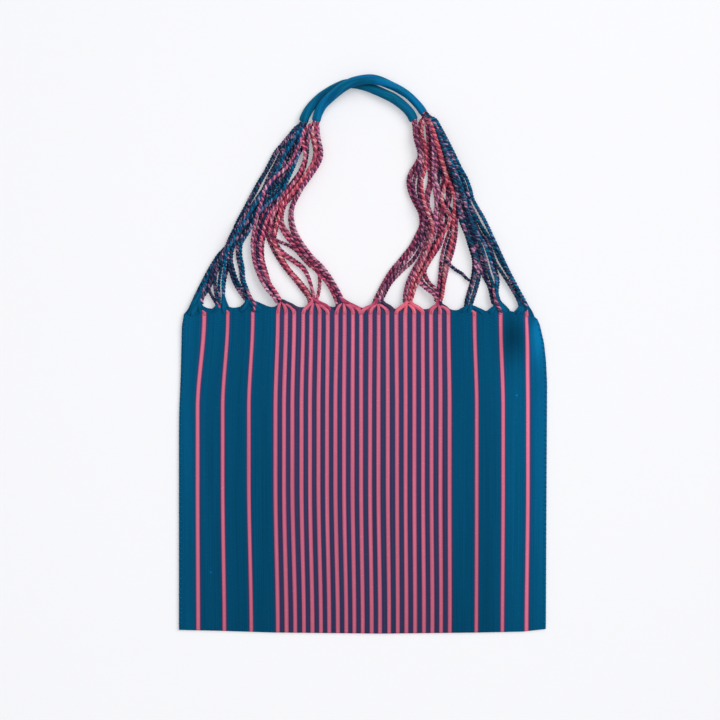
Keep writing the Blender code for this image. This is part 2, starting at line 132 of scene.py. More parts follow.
# Middle lines of the handles, from the left end to the right end: x, y, z.
HANDLES = {
    "back": (
        (-65.6, 254, 5.2), (-62, 262, 5.2), (-56.4, 270.3, 5.2), (-47.2, 279.8, 5.2),
        (-37.6, 286.6, 5.2), (-28, 291.8, 5.2), (-18.4, 295, 5.2), (-8, 295, 5.2),
        (4, 292.2, 5.2), (13, 288.7, 5.2), (22.5, 284.5, 5.2), (32.8, 279.6, 5.2),
        (43.2, 272.2, 5.2), (51.6, 263.4, 5.2), (55.6, 255.5, 5.2),
    ),
    "front": (
        (-51.4, 254, 8.4), (-49, 262, 9.4), (-43, 272, 11.8), (-33.5, 280.9, 14.2),
        (-23.2, 289.1, 15.6), (-14, 294.2, 15.8), (-4, 297.1, 15.8), (8, 298.4, 15.4),
        (18, 296.8, 14.0), (28, 293.5, 11.6), (38, 289.2, 9.6), (49.5, 281.8, 8.4),
        (59.7, 271.9, 8.1), (66.3, 263, 8.0),
    ),
}
# How thick a handle is along its way, as a share of the way and of the usual diameter.
HANDLE_GIRTHS = {
    "back": ((0, 1.0), (0.5, 1.0), (0.8, 1.06), (1, 1.0)),
    "front": ((0, 0.96), (0.2, 1.06), (0.58, 1.04), (0.7, 0.9), (0.85, 0.84), (1, 0.88)),
}

# The strings of the front face in the order in which they lie, lowest first: root, number,
# yarn, handle end that they go into, and their route from the mouth up as x, y.
STRINGS = (
    ("A", 1, "teal", "back_left", (
        (-187, 52), (-183, 62), (-175, 79), (-166.5, 95), (-157, 109), (-150, 116), (-145.5, 127),
        (-140.5, 137), (-136, 147), (-130.5, 157), (-125, 167), (-119, 178), (-113.5, 188),
        (-107, 199.5), (-100.5, 211), (-95.5, 221), (-88.5, 229.5), (-80, 239), (-72, 248))),
    ("A", 2, "flecked", "back_left", (
        (-181, 53), (-177.5, 62), (-170, 79), (-161.5, 95), (-152.5, 109), (-144.5, 121),
        (-139, 133), (-133, 145), (-128, 155), (-124, 165), (-117, 177), (-111.5, 188),
        (-105.5, 199.5), (-99, 211), (-94, 221), (-86, 230.5), (-77, 241))),
    ("D", 2, "maroon", "front_left", (
        (-92, 57), (-97, 64), (-107, 76), (-113, 90), (-117, 104), (-118, 118), (-116.5, 130),
        (-114, 141), (-110, 150), (-105, 158), (-99, 165), (-92, 172), (-85, 179.5), (-77.5, 188),
        (-70, 198), (-65, 209), (-62, 219), (-62, 229), (-60, 239), (-55, 247))),
    ("D", 4, "dark", "front_left", (
        (-91, 57), (-94, 64), (-104, 77), (-110, 91), (-114, 105), (-114.5, 119), (-112.5, 131),
        (-110, 142), (-106, 151), (-101, 159), (-95, 166.5), (-88.5, 174), (-81.5, 182),
        (-75, 190), (-69, 200), (-64.5, 210), (-61.5, 221), (-61, 232), (-58, 243))),
    ("E", 1, "maroon", "front_left", (
        (-58, 55), (-60, 62), (-69, 74), (-79, 86), (-88, 97), (-96, 109), (-101.5, 121),
        (-105, 130), (-105, 138), (-102.5, 147), (-98, 156), (-91.5, 164), (-85, 172),
        (-79, 180), (-73.5, 188), (-69, 196), (-66, 204), (-63.4, 213), (-61.5, 223),
        (-59.5, 234), (-55, 246))),
    ("F", 1, "coral", "front_left", (
        (-28, 54), (-31, 62), (-39, 77), (-50, 90), (-63.5, 103), (-74.5, 117), (-85, 130),
        (-90, 139.5), (-91.6, 150), (-88.4, 160.5), (-82, 169), (-75, 178), (-67.5, 187.5),
        (-60, 198), (-54.4, 208), (-52.4, 218), (-54, 228), (-56, 239), (-54.5, 248))),
    ("D", 3, "coral", "front_left", (
        (-90, 58), (-93, 65), (-101.5, 77), (-107.5, 91), (-111, 105), (-111.5, 120), (-109, 133),
        (-106.5, 142), (-102, 151), (-97, 159), (-91.5, 166), (-85.5, 173), (-80, 180),
        (-74.5, 188), (-69, 197), (-65, 206), (-63, 216), (-64.5, 226), (-66, 234), (-64, 243),
        (-59, 249))),
    ("E", 3, "coral", "front_left", (
        (-54, 58), (-54.5, 66), (-59, 81), (-66, 93), (-77, 101.5), (-88.5, 109.5), (-97.3, 120),
        (-101, 131), (-100.3, 143), (-96.6, 154), (-89.5, 163), (-81.5, 171), (-75, 179), (-68, 187),
        (-61.4, 195), (-56.8, 203), (-53.6, 212), (-52.2, 222), (-53, 232), (-53.5, 241), (-52, 247))),
    ("E", 4, "coral", "front_left", (
        (-51, 58), (-49, 65), (-47.5, 79), (-49, 91), (-58.5, 104), (-69, 117), (-79, 129.5),
        (-86, 139.5), (-88, 149), (-86.5, 158.5), (-82.5, 166), (-77.5, 173), (-71.5, 181),
        (-64.5, 189), (-59, 197), (-54.6, 205), (-51.6, 213), (-50.6, 222), (-51.4, 232),
        (-52.5, 241), (-51, 247))),
    ("F", 2, "maroon", "front_left", (
        (-25, 57), (-28, 64), (-36, 79), (-47, 93), (-60, 105), (-70, 119), (-77, 133),
        (-79.5, 142), (-80, 151), (-78.5, 160), (-75.5, 167), (-71, 175), (-65.5, 183.5),
        (-60, 192), (-54, 201.5), (-49.5, 211), (-47, 220), (-48, 230), (-50.5, 240), (-50.5, 247))),
    ("F", 3, "pink", "front_left", (
        (-22, 58), (-25, 65), (-33, 79), (-43, 94), (-55, 106), (-65, 119), (-73, 133),
        (-76.5, 144), (-77, 155), (-75, 163.5), (-71, 171.5), (-66, 180), (-60.5, 188),
        (-55, 196), (-50, 204), (-46, 212.5), (-45, 221), (-47, 231), (-49, 241), (-49, 248))),
    ("E", 2, "bright_coral", "front_left", (
        (-57, 60), (-61, 67), (-70, 79), (-80, 91), (-88, 103), (-94, 115), (-97.3, 126),
        (-95.6, 136), (-92.6, 146), (-90, 156), (-85.5, 166), (-78, 175), (-70.5, 184), (-63.6, 194),
        (-57, 204), (-53, 213), (-51.6, 223), (-53, 233), (-55, 242), (-54, 248))),
    ("A", 3, "flecked", "back_left", (
        (-176, 55), (-175, 62), (-169, 71), (-165, 80), (-160, 92), (-153, 105), (-145, 119),
        (-138, 133), (-131, 146), (-123, 157), (-117.5, 167), (-109.5, 178), (-105.2, 188),
        (-100, 199.5), (-94, 211), (-89, 221), (-82.5, 231), (-74, 242))),
    ("B", 1, "dark", "back_left", (
        (-159, 54), (-162, 59), (-167.5, 70), (-166, 83), (-160, 97), (-152, 110), (-144, 123),
        (-137, 137), (-130.5, 149), (-122.5, 160), (-115.5, 170), (-108, 180), (-102.5, 190),
        (-97.5, 201), (-92, 212), (-87, 222), (-80.5, 232), (-73, 243))),
    ("B", 2, "flecked", "back_left", (
        (-158, 54), (-159.5, 60), (-161.5, 75), (-160, 90), (-154.5, 104), (-147, 116),
        (-140, 130), (-133.5, 143), (-126, 154), (-119, 164), (-112, 174), (-106, 183),
        (-100, 193), (-95, 203), (-90, 213), (-85, 223), (-79, 233), (-72, 243))),
    ("C", 1, "dark", "back_left", (
        (-127, 58), (-131, 63), (-139, 75), (-144, 88), (-146, 101), (-146, 115), (-140, 129),
        (-132.5, 142), (-124, 153), (-116, 163), (-108, 173), (-100, 183), (-93, 193),
        (-88, 203), (-84.5, 212), (-79.5, 222), (-74.5, 232), (-69, 243))),
    ("B", 3, "teal", "back_left", (
        (-156, 54), (-156.5, 60), (-157.3, 75), (-154.8, 91), (-151, 105), (-145, 117),
        (-138, 129), (-131, 142), (-123.5, 153), (-116.5, 163), (-110, 173), (-103.5, 183),
        (-97.5, 192), (-93, 202), (-88.5, 212), (-83, 222), (-77, 232), (-70.5, 243))),
    ("B", 4, "bright", "back_left", (
        (-152.5, 54), (-152.3, 62), (-152.7, 78), (-150.5, 94), (-148.5, 108), (-142, 122),
        (-134, 136), (-126, 149), (-118.5, 160), (-112, 170), (-105.5, 179), (-99, 188),
        (-93.5, 197), (-89.5, 207), (-84.5, 217), (-78.5, 227), (-73.5, 237), (-68.5, 247))),
    ("C", 2, "teal", "back_left", (
        (-125.5, 58), (-129, 66), (-136.5, 78), (-141, 91), (-143, 105), (-140, 119),
        (-133, 133), (-125, 145), (-117, 154.5), (-109, 163), (-101, 171.5), (-93.5, 179),
        (-87, 188), (-81, 198), (-76.5, 208), (-71.5, 218), (-70.5, 230), (-67, 246))),
    ("C", 3, "bright", "back_left", (
        (-123.5, 58), (-125, 67), (-130, 80), (-131, 94), (-133.5, 108), (-132.5, 121),
        (-125.6, 132), (-119.8, 143), (-114.2, 152), (-107.5, 160), (-99.5, 168), (-91.5, 175),
        (-86, 182), (-82, 190), (-77.2, 200), (-73.4, 209), (-70.4, 217), (-70, 228), (-68, 239),
        (-65.5, 248))),
    ("D", 1, "pink", "back_left", (
        (-94, 57), (-98, 63), (-108, 75), (-114.5, 89), (-119, 103), (-121, 119), (-119.5, 131),
        (-117, 144), (-113.5, 157), (-109, 170), (-107, 178), (-103.5, 184), (-99, 189.5),
        (-93, 194.5), (-87, 199.5), (-81.5, 205.5), (-77.5, 212), (-73.5, 219), (-70, 226),
        (-67, 234), (-65.5, 245))),
    ("G", 3, "plum", "back_right", (
        (20, 58), (23.5, 65), (31, 79), (42, 91), (54, 102), (62, 114), (67, 127), (69.5, 141),
        (66.5, 154), (63.5, 166), (61, 179), (62, 191), (62.5, 203), (62, 213), (62, 222),
        (59.5, 231), (57.5, 240), (56.5, 248))),
    ("H", 1, "maroon", "front_right", (
        (45, 57), (45.5, 64), (48.5, 78), (54.5, 92), (62, 105), (68, 119), (72, 133),
        (73, 147), (70, 156), (68, 165), (69, 175), (71.5, 185), (72.5, 196), (71.5, 208),
        (71, 220), (71, 232), (70, 243), (69, 253))),
    ("I", 1, "maroon", "front_right", (
        (79, 58), (80.5, 64), (83, 78), (84.5, 92), (86, 106), (89, 120), (94, 134),
        (96.5, 146), (93, 155), (88, 161.5), (83.5, 168), (80, 176), (78.5, 186), (79.5, 197),
        (81.5, 208), (80.5, 222), (77, 238), (73, 251))),
    ("H", 4, "maroon", "front_right", (
        (82, 62), (79, 71), (72, 79), (67.5, 90), (70.5, 98), (77.5, 109), (84, 119),
        (87, 130), (86, 141), (86.5, 151), (90, 159), (94.5, 167), (95, 177), (93, 188),
        (89, 200), (84, 215), (78.5, 229), (75, 243), (71.5, 252))),
    ("H", 5, "pink", "front_right", (
        (80, 60), (76, 66), (67, 73), (60, 81), (60.5, 92), (66, 102), (72, 116), (77.5, 130),
        (80, 144), (80, 156), (79.5, 168), (77.5, 180), (76.5, 191), (76.5, 203), (76.5, 213),
        (76, 226), (75, 238), (71.5, 251))),
    ("H", 6, "pink", "front_right", (
        (46.5, 57), (47.5, 64), (51, 78), (57.5, 92), (64.5, 105), (70.5, 119), (74.5, 133),
        (77.5, 146), (79, 157), (81, 169), (82, 178), (79.5, 188), (79, 199), (80, 209),
        (78.5, 222), (77, 234), (74.5, 244), (71, 252))),
    ("J", 2, "flecked", "front_right", (
        (116.5, 50), (118.8, 60), (123.5, 75), (126, 89), (125, 103), (121.6, 117), (117.4, 131),
        (112.6, 143), (108, 155), (104.5, 168), (103, 182), (100, 196), (95.5, 209),
        (90.5, 221), (85, 233), (80, 244), (75, 253))),
    ("K", 1, "dark", "front_right", (
        (142, 55), (140, 62), (138, 75), (134, 87), (131, 99), (127, 111), (122, 124),
        (117.5, 137), (113, 150), (109, 163), (106, 175), (103, 187), (98.5, 199), (93.5, 211),
        (88.5, 223), (83.5, 235), (79, 245), (74, 253))),
    ("L", 1, "flecked", "front_right", (
        (172, 52), (169.5, 59), (161.5, 73), (152.5, 87), (144.5, 99), (139.5, 113), (135, 127),
        (129, 139), (123.5, 149), (118, 159), (112.5, 169), (108.5, 178), (105, 188),
        (99.5, 201), (93, 214), (87, 227), (81.5, 239), (75, 251))),
    ("K", 3, "bright", "front_right", (
        (151, 53), (149, 57), (146, 67), (145.5, 81), (142, 93), (137.5, 107), (133, 120),
        (127, 129), (122.5, 138), (118.5, 148), (115, 158), (111, 168), (108, 178),
        (104.5, 189), (99.5, 201), (94, 214), (88.5, 227), (82.5, 240), (76, 252))),
    ("K", 2, "flecked", "front_right", (
        (145, 54), (143, 64), (141.5, 78), (137, 90), (133, 103), (129, 116), (123.5, 129),
        (119, 141), (114.5, 154), (110.5, 166), (106.5, 178), (102.5, 190), (97, 203),
        (91.5, 215), (86.5, 227), (82, 238), (76.5, 250))),
    ("L", 2, "teal", "front_right", (
        (176, 52), (173, 60), (166, 74), (158, 88), (150.5, 101), (144, 115), (136.6, 128),
        (128.4, 140), (121, 151), (116.6, 160), (115.4, 169), (112.8, 179), (108.8, 189),
        (104, 200), (97.5, 213), (91, 226), (84, 239), (75.5, 253))),
    ("L", 3, "bright", "front_right", (
        (178, 52), (175.5, 59), (168, 73), (160.5, 87), (153.5, 101), (147, 115),
        (141.5, 127), (136.5, 138), (131, 149), (125.5, 159), (119.5, 170), (116.5, 181),
        (112.5, 191), (106.5, 201), (101, 212), (96, 222), (90, 233), (84, 245), (77.5, 255))),
    ("J", 1, "flecked", "front_right", (
        (112.8, 50), (114.6, 60), (118.9, 75), (122, 89), (122.4, 103), (118.8, 117), (113.8, 131),
        (108.8, 143), (105, 156), (102.8, 168), (101.5, 181), (98.5, 195), (93.5, 208),
        (88, 220), (83.5, 233), (79, 245))),
    ("I", 2, "bright_coral", "front_right", (
        (85, 58), (86.5, 64), (88, 78), (89.5, 92), (92.5, 106), (96, 120), (98, 134),
        (98.5, 148), (99.5, 162), (99, 173), (96, 183), (92, 192.5), (89, 203), (86, 213),
        (82.5, 224), (79, 235), (76, 245), (72.5, 254))),
    ("G", 1, "maroon", "back_right", (
        (12, 56), (15, 64), (22.5, 78), (31, 92), (41, 104), (51, 116), (57.5, 128),
        (63, 141), (62, 154), (56, 166), (51, 177), (49, 189), (51.5, 199), (57, 207),
        (61, 216), (60, 226), (57.5, 235), (56, 243), (55.5, 250))),
    ("G", 2, "plum", "back_right", (
        (17, 57), (19.5, 65), (27, 79), (36.5, 92), (48, 103), (57, 115), (63, 127),
        (65.5, 142), (66, 154), (60.5, 164), (56.5, 174), (55, 184), (57, 195), (62, 207),
        (62, 219), (60, 231), (58, 241), (57.5, 249))),
    ("H", 3, "bright_coral", "front_right", (
        (51.5, 57), (54, 64), (59, 78), (66, 91), (73.5, 103), (79, 116), (84, 126),
        (89, 134), (93.5, 142), (94.5, 150), (91, 157), (87, 164), (86, 172), (88.5, 181),
        (91, 190), (88.5, 200), (85, 210), (82.5, 220), (79.5, 230), (76.5, 241), (73, 251))),
    ("H", 2, "bright_coral", "front_right", (
        (49, 57), (50, 64), (54, 78), (60.5, 92), (67, 106), (72.5, 120), (75.5, 133),
        (75, 142), (72, 150.5), (68.5, 159), (66, 168), (64.2, 178), (64, 188), (66.6, 198),
        (68.4, 208), (68.8, 218), (67.5, 228), (65.5, 236), (64.3, 244), (65.5, 253))),
)
# Short strings that cross from one root or group to the next: root, number, yarn and route.
BRIDGES = (
    ("F", 4, "maroon", (
        (-101, 131), (-97, 126.5), (-91, 123), (-85, 120.5), (-79, 117.5), (-73, 113), (-68, 107),
        (-63, 101), (-57, 95))),
    ("C", 4, "pink", (
        (-120.4, 44), (-119.5, 48), (-118.3, 52), (-118.4, 56), (-121, 60), (-124, 65),
        (-127, 71))),
    ("K", 4, "pink", (
        (150.6, 42), (150.3, 46), (148.5, 50), (146.3, 54), (144.2, 59), (142.6, 65),
        (141.6, 72))),
    ("J", 3, "dark", (
        (90, 102), (92, 100), (95, 98), (99, 94.5), (104, 91), (109, 87), (113, 83), (117, 80),
        (121, 78))),
)
# Strings of the back face: root and number of the front one whose way each follows below it, its
# own yarn, and how far it lies to the right of that way, at its foot and further up.
BACK_STRINGS = (
    ("A", 1, "teal", 1.5, 0.8), ("A", 3, "dark", -1.5, 0.8), ("B", 2, "teal", 1.0, -0.8),
    ("B", 4, "dark", -1.0, 3.0), ("C", 2, "teal", 1.0, -4.0), ("C", 3, "flecked", -1.0, -3.4),
    ("D", 1, "dark", 1.5, 3.4), ("D", 2, "dark", 1.5, 1.2), ("D", 3, "maroon", -2.0, 1.5),
    ("E", 2, "maroon", 1.5, 0.6), ("E", 3, "maroon", -1.5, 2.4), ("F", 1, "maroon", 1.5, 1.0),
    ("F", 3, "coral", -1.5, -0.8), ("G", 1, "maroon", 1.0, 3.0), ("G", 3, "maroon", -1.5, -0.8),
    ("H", 1, "maroon", 1.5, 3.2), ("H", 2, "coral", -1.0, -3.2), ("H", 3, "maroon", -1.0, -3.4),
    ("H", 5, "maroon", 1.5, 4.2), ("H", 4, "maroon", 1.0, -3.0), ("I", 1, "dark", 1.5, 4.0),
    ("I", 2, "maroon", -1.5, 3.4), ("J", 1, "dark", -1.5, -1.6), ("J", 2, "teal", 1.5, 1.6),
    ("K", 1, "flecked", 1.5, -3.2), ("K", 2, "teal", -1.5, 0.8), ("K", 3, "flecked", -1.5, 2.6),
    ("L", 1, "dark", 1.5, 0.6), ("L", 3, "teal", -1.5, 0.6),
)

# Coral stripes whose loose ends arch into a root as flat bundles: yarn, x and y of the root, and
# each stripe's x at the mouth.
FANS = (
    ("coral", -89, 57, (-92.8, -83.9, -75.0)), ("coral", -53, 56, (-65.1, -56.5, -47.2, -38.6)),
    ("coral", -22, 56, (-28.7, -20.1, -10.9, -2.9)), ("coral", 16, 55, (-1.3, 8.1, 17.2, 26.7)),
    ("bright_coral", 48, 55, (36.2, 46.0, 55.9, 65.0)), ("coral", 82, 54, (74.1, 83.9, 93.1)),
)
# Other bundles of loose warp ends: yarn, width at the foot, width at the top, and x, y points.
BUNDLES = (
    ("teal", 12, 6.5, (
        (-188, 42), (-184.8, 49), (-181.8, 56), (-178.8, 63.5), (-173.6, 76), (-166.3, 91),
        (-158, 105), (-151.5, 116))),
    ("teal", 9, 4.0, ((-176, 45), (-177.5, 50), (-178.5, 56), (-177, 62))),
    ("teal", 5, 4.0, ((-166, 46), (-162, 49), (-159, 53), (-160, 59))),
    ("teal", 9, 4.6, ((-149, 45), (-150.5, 52), (-152, 59), (-152.6, 66))),
    ("teal", 8, 4.6, ((-134, 47), (-129, 52), (-126.5, 57), (-128, 63))),
    ("teal", 9, 4.6, ((-112, 48), (-118, 53.5), (-123, 59), (-126, 66))),
    ("purple", 5, 4.0, ((-71.5, 48), (-77, 52.5), (-84, 56), (-90, 60))),
    ("crimson", 5, 4.4, ((-36, 47.5), (-40, 52), (-46, 55), (-52, 58.5), (-56, 62))),
    ("coral", 4, 3.6, ((-63, 48.5), (-60, 52.5), (-56, 57), (-55, 62))),
    ("crimson", 5, 4.4, ((-3, 48.5), (-9, 51.5), (-16, 55), (-22, 59), (-26, 63))),
    ("purple", 4, 3.6, ((-31, 48.5), (-28, 52), (-25, 57), (-28, 63))),
    ("crimson", 5, 4.4, ((4, 48), (8, 51.5), (13, 55.5), (16, 61))),
    ("purple", 5, 4.0, ((33, 47), (29, 51), (23, 55), (20, 60))),
    ("bright_coral", 4.6, 4.2, ((37.5, 47), (41, 51), (46, 54.5), (48, 60))),
    ("bright_coral", 4.6, 4.2, ((65, 46.5), (60, 50.5), (54, 54), (50, 59))),
    ("crimson", 4.4, 4.0, ((71.5, 46.5), (76, 50.5), (80.5, 54), (82, 60))),
    ("purple", 4.4, 4.0, ((94, 46.5), (90, 50.5), (85, 54), (84, 60))),
    ("teal", 6, 4.0, ((105, 45.5), (108, 48.2), (111.5, 50.4), (114.5, 53))),
    ("teal", 9, 4.6, ((118, 44), (117, 47.5), (116.6, 50.5), (116.6, 53.5))),
    ("teal", 5, 4.0, ((132, 45), (127, 47.8), (122.5, 49.8), (118.5, 52))),
    ("teal", 6, 4.4, ((137, 45), (140, 48), (143.5, 51.5), (145, 57))),
    ("teal", 8, 4.4, ((157, 45.5), (153, 50), (148.5, 55), (146, 61), (145.3, 70), (145, 80))),
    ("teal", 7, 5.0, ((167, 44), (170.5, 48), (172.5, 53), (170, 60), (166, 68))),
    ("teal", 5, 4.4, ((172.6, 44), (174.2, 49), (174.8, 54), (173, 61))),
    ("teal", 6, 4.6, ((184, 41), (181.6, 46), (178.4, 52), (175, 60))),
    ("coral", 4.0, 1.6, ((-173.1, 42), (-173.4, 44.8), (-174.6, 47), (-176.4, 48.6))),
    ("coral", 4.4, 1.8, ((-147.2, 42), (-147.4, 45), (-148.2, 47.6), (-149.6, 49))),
    ("coral", 4.4, 2.0, ((121.5, 42), (121.1, 44.8), (119.6, 46.8), (117, 48))),
    ("coral", 4.0, 1.6, ((178.6, 40), (178.9, 44), (179.2, 47.6), (179.4, 50.5))),
    ("crimson", 4.0, 3.4, ((-156, 50), (-157.5, 53.5), (-157, 57), (-158, 61))),
)
# Two plies and the flecks of each kind of string: yarn, slot, first, second, fleck, share of flecks.
YARNS = (
    ("coral", "coral_string", "#f57295", "#84385a", "#f9b8c8", 0.42),
    ("bright_coral", "coral_string", "#ff8294", "#b8455f", "#ffc4ca", 0.45),
    ("pink", "coral_string", "#e885a9", "#6b446c", "#f9c3d8", 0.46),
    ("maroon", "coral_string", "#c45a7b", "#4d3150", "#ee9fb8", 0.42),
    ("plum", "coral_string", "#9a5a7d", "#3f2c4c", "#e8a3bd", 0.46),
    ("teal", "teal_string", "#0b6182", "#1b3355", "#d9a0c6", 0.36),
    ("bright", "teal_string", "#0d7ba5", "#194873", "#c2a2d0", 0.28),
    ("flecked", "teal_string", "#1b6080", "#31324f", "#e29cc0", 0.42),
    ("dark", "teal_string", "#38486c", "#24233f", "#c892b8", 0.42),
)
# The deepest dye of the strings of each slot.
DEEP_DYES = {"coral_string": "#7a2f4e", "teal_string": "#232f52"}
# The loose ends: yarn, slot, lighter and darker thread.
LOOSE_YARNS = (
    ("teal", "teal_string", "#08618a", "#064466"), ("coral", "coral_string", "#e87890", "#c25472"),
    ("bright_coral", "coral_string", "#fa8092", "#d95673"),
    ("crimson", "coral_string", "#d65c7e", "#8c2c50"),
    ("purple", "teal_string", "#52425f", "#2b2240"),
)
# Painted light: the seam yarn is as pale as the sides of the cloth, which are painted lighter where
# they tilt to the light.
SEAM_YARN = ("#0a719f", "#075885")


def linear(code):
    """An sRGB hex colour as linear RGBA."""
    shares = [int(code[start:start + 2], 16) / 255 for start in (1, 3, 5)]
    return (*(share / 12.92 if share <= 0.04045 else ((share + 0.055) / 1.055) ** 2.4
              for share in shares), 1.0)


def colour_property(name, description, code):
    """A colour that a user may change, with its default as an sRGB hex colour."""
    return bpy.props.FloatVectorProperty(
        name=name, description=description, subtype="COLOR", size=4, min=0.0, max=1.0,
        default=linear(code))


class ClothSettings(bpy.types.PropertyGroup):
    """The folded, warp-striped cloth."""

    thickness: bpy.props.FloatProperty(
        name="Thickness", description="Thickness of the woven cloth",
        default=CLOTH_THICKNESS * MM, min=0.5 * MM, max=3 * MM, unit="LENGTH", precision=4)
    stripe_width: bpy.props.FloatProperty(
        name="Stripe width", description="Width of a coral warp stripe", default=4.7 * MM,
        min=1 * MM, max=20 * MM, unit="LENGTH", precision=4)
    column_step: bpy.props.FloatProperty(
        name="Column step", description="Widest step of the cloth's mesh across the warp",
        default=2.6 * MM, min=1 * MM, max=10 * MM, unit="LENGTH", precision=4)


class StringSettings(bpy.types.PropertyGroup):
    """The plied strings."""

    diameter: bpy.props.FloatProperty(
        name="Diameter", description="Diameter of one two-ply string", default=4.2 * MM,
        min=1 * MM, max=8 * MM, unit="LENGTH", precision=4)
    turn: bpy.props.FloatProperty(
        name="Turn", description="Length of one full turn of the two plies",
        default=6.8 * MM, min=3 * MM, max=30 * MM, unit="LENGTH", precision=4)
    flattening: bpy.props.FloatProperty(
        name="Flattening", description="Share of its height that a string keeps on others",
        default=0.62, min=0.4, max=1.0, subtype="FACTOR")


class HandleSettings(bpy.types.PropertyGroup):
    """The thread-wrapped handles."""

    diameter: bpy.props.FloatProperty(
        name="Diameter", description="Diameter of a wrapped handle", default=10.4 * MM,
        min=4 * MM, max=20 * MM, unit="LENGTH", precision=4)
    thread: bpy.props.FloatProperty(
        name="Thread", description="Width of one turn of the wrapping thread",
        default=1.1 * MM, min=0.5 * MM, max=3 * MM, unit="LENGTH", precision=4)


class StitchSettings(bpy.types.PropertyGroup):
    """The overcast side seams."""

    spacing: bpy.props.FloatProperty(
        name="Spacing", description="Distance from one overcast stitch to the next",
        default=5.2 * MM, min=2 * MM, max=20 * MM, unit="LENGTH", precision=4)
    thread: bpy.props.FloatProperty(
        name="Thread", description="Diameter of the sewing yarn", default=1.1 * MM,
        min=0.4 * MM, max=3 * MM, unit="LENGTH", precision=4)


class StageSettings(bpy.types.PropertyGroup):
    """The camera over the bag."""

    lens: bpy.props.FloatProperty(
        name="Lens", description="Focal length of the camera", default=80.0, min=20.0,
        max=200.0, unit="CAMERA")
    camera_height: bpy.props.FloatProperty(
        name="Camera height", description="Height of the camera over the floor",
        default=1.752, min=0.5, max=5.0, unit="LENGTH")


class ColourSettings(bpy.types.PropertyGroup):
    """The colours of the cloth, the handles and the floor."""

    teal: colour_property("Teal", "Warp of the plain stripes", "#04486a")
    teal_light: colour_property("Light teal", "Paler threads of the plain warp", "#05577f")
    navy: colour_property("Navy", "Warp between the close coral stripes", "#383f63")
    coral: colour_property("Coral", "Coral warp stripes", "#e0748f")
    handle: colour_property("Handle", "Thread wrapped round the front handle", "#036597")
    # Painted shade: the back handle is the front one's thread made darker, for the front handle's shade
    # on it.
    back_handle_with_painted_shade: colour_property("Back handle", "Thread wrapped round the back handle", "#035b83")
    floor: colour_property("Floor", "Milky acrylic over white paper", "#e3e4e7")


# Lines and paths.

ROUNDING = np.array((-1.0, -0.33, 0.33, 1.0))   # where a table is read to round it, in reaches
SPAN_SAMPLES = 16       # points of a smooth curve between two points that it goes through


def table_value(rows, position):
    """Value of a two-column table at a position or an array of them."""
    ordered = np.array(sorted(rows), float)
    return np.interp(position, ordered[:, 0], ordered[:, 1])


def rounded_value(rows, position, reach):
    """The table's value with its bends rounded off over a reach to both sides."""
    return sum(table_value(rows, position + shift) for shift in ROUNDING * reach) / len(ROUNDING)


def smooth_step(share):
    """0 below 0, 1 above 1 and a smooth rise between."""
    share = np.clip(share, 0.0, 1.0)
    return share * share * (3.0 - 2.0 * share)


def lengths_along(path):
    """Distance travelled at each point of a path."""
    return np.concatenate([[0], np.cumsum(np.linalg.norm(np.diff(path, axis=0), axis=1))])


def smooth_path(points, step=1.0, count=None):
    """Evenly spaced points on the smooth curve through some points, a step or a count apart."""
    rows = np.array(points, float)
    rows = np.vstack([2 * rows[0] - rows[1], rows, 2 * rows[-1] - rows[-2]])
    share = np.arange(SPAN_SAMPLES)[:, None] / SPAN_SAMPLES
    fine = []
    for a, b, c, d in zip(rows, rows[1:], rows[2:], rows[3:]):
        fine.append(0.5 * (2 * b + (c - a) * share + (2 * a - 5 * b + 4 * c - d) * share ** 2
                           + (3 * b - a - 3 * c + d) * share ** 3))
    fine = np.vstack([*fine, rows[-2:-1]])
    along = lengths_along(fine)
    target = np.linspace(0, along[-1], (count or max(int(round(along[-1] / step)), 4)) + 1)
    return np.column_stack([np.interp(target, along, column) for column in fine.T])


def softened(values, passes):
    """Values along a line, each replaced by the mean of itself and its neighbours."""
    for _ in range(passes):
        padded = np.concatenate([values[:1], values, values[-1:]])
        values = (padded[:-2] + 2 * padded[1:-1] + padded[2:]) / 4
    return values


def wobble(random, count, smoothness):
    """Slow random values about 0, with a spread of about 1, along a line."""
    knots = random.normal(0.0, 1.0, count // smoothness + 4)
    places = np.linspace(0, len(knots) - 1.001, count)
    low = places.astype(int)
    share = smooth_step(places - low)
    return knots[low] * (1 - share) + knots[np.minimum(low + 1, len(knots) - 1)] * share


# Nodes and materials.

# Settings that many nodes share.
TIMES = {"operation": "MULTIPLY"}
PLUS = {"operation": "ADD"}
MINUS = {"operation": "SUBTRACT"}
TIMES_PLUS = {"operation": "MULTIPLY_ADD"}
BLEND = {"data_type": "RGBA"}
SHADE = {"data_type": "RGBA", "blend_type": "MULTIPLY"}
NOISE_MIDDLE = 0.5      # mean of a noise or wave texture


def set_inputs(node, inputs):
    """Set a node's inputs, or link them to an output or to the first output in use of a node."""
    for name, value in inputs.items():
        if isinstance(value, bpy.types.Node):
            value = next(output for output in value.outputs if output.enabled)
        if isinstance(value, bpy.types.NodeSocket):
            node.id_data.links.new(value, node.inputs[name])
        else:
            node.inputs[name].default_value = value


def add_node(tree, kind, settings, inputs):
    """Add a shader node with its settings and its inputs."""
    node = tree.nodes.new("ShaderNode" + kind)
    for name, value in settings.items():
        setattr(node, name, value)
    set_inputs(node, inputs)
    return node


def new_material(name, constants):
    """A node material, what adds a node to it, and its shader with its constants set."""
    material = bpy.data.materials.new(name)
    material.use_nodes = True
    shader = material.node_tree.nodes["Principled BSDF"]
    set_inputs(shader, constants)
    return material, partial(add_node, material.node_tree), shader


def cotton(roughness, sheen, tint, shine=0.03):
    """Cotton fibres: an IOR near 1.5, almost no mirror shine, and a soft bloom at grazing angles."""
    return {"Metallic": 0.0, "IOR": 1.5, "Specular IOR Level": shine, "Roughness": roughness,
            "Sheen Weight": sheen, "Sheen Roughness": 0.5, "Sheen Tint": tint}


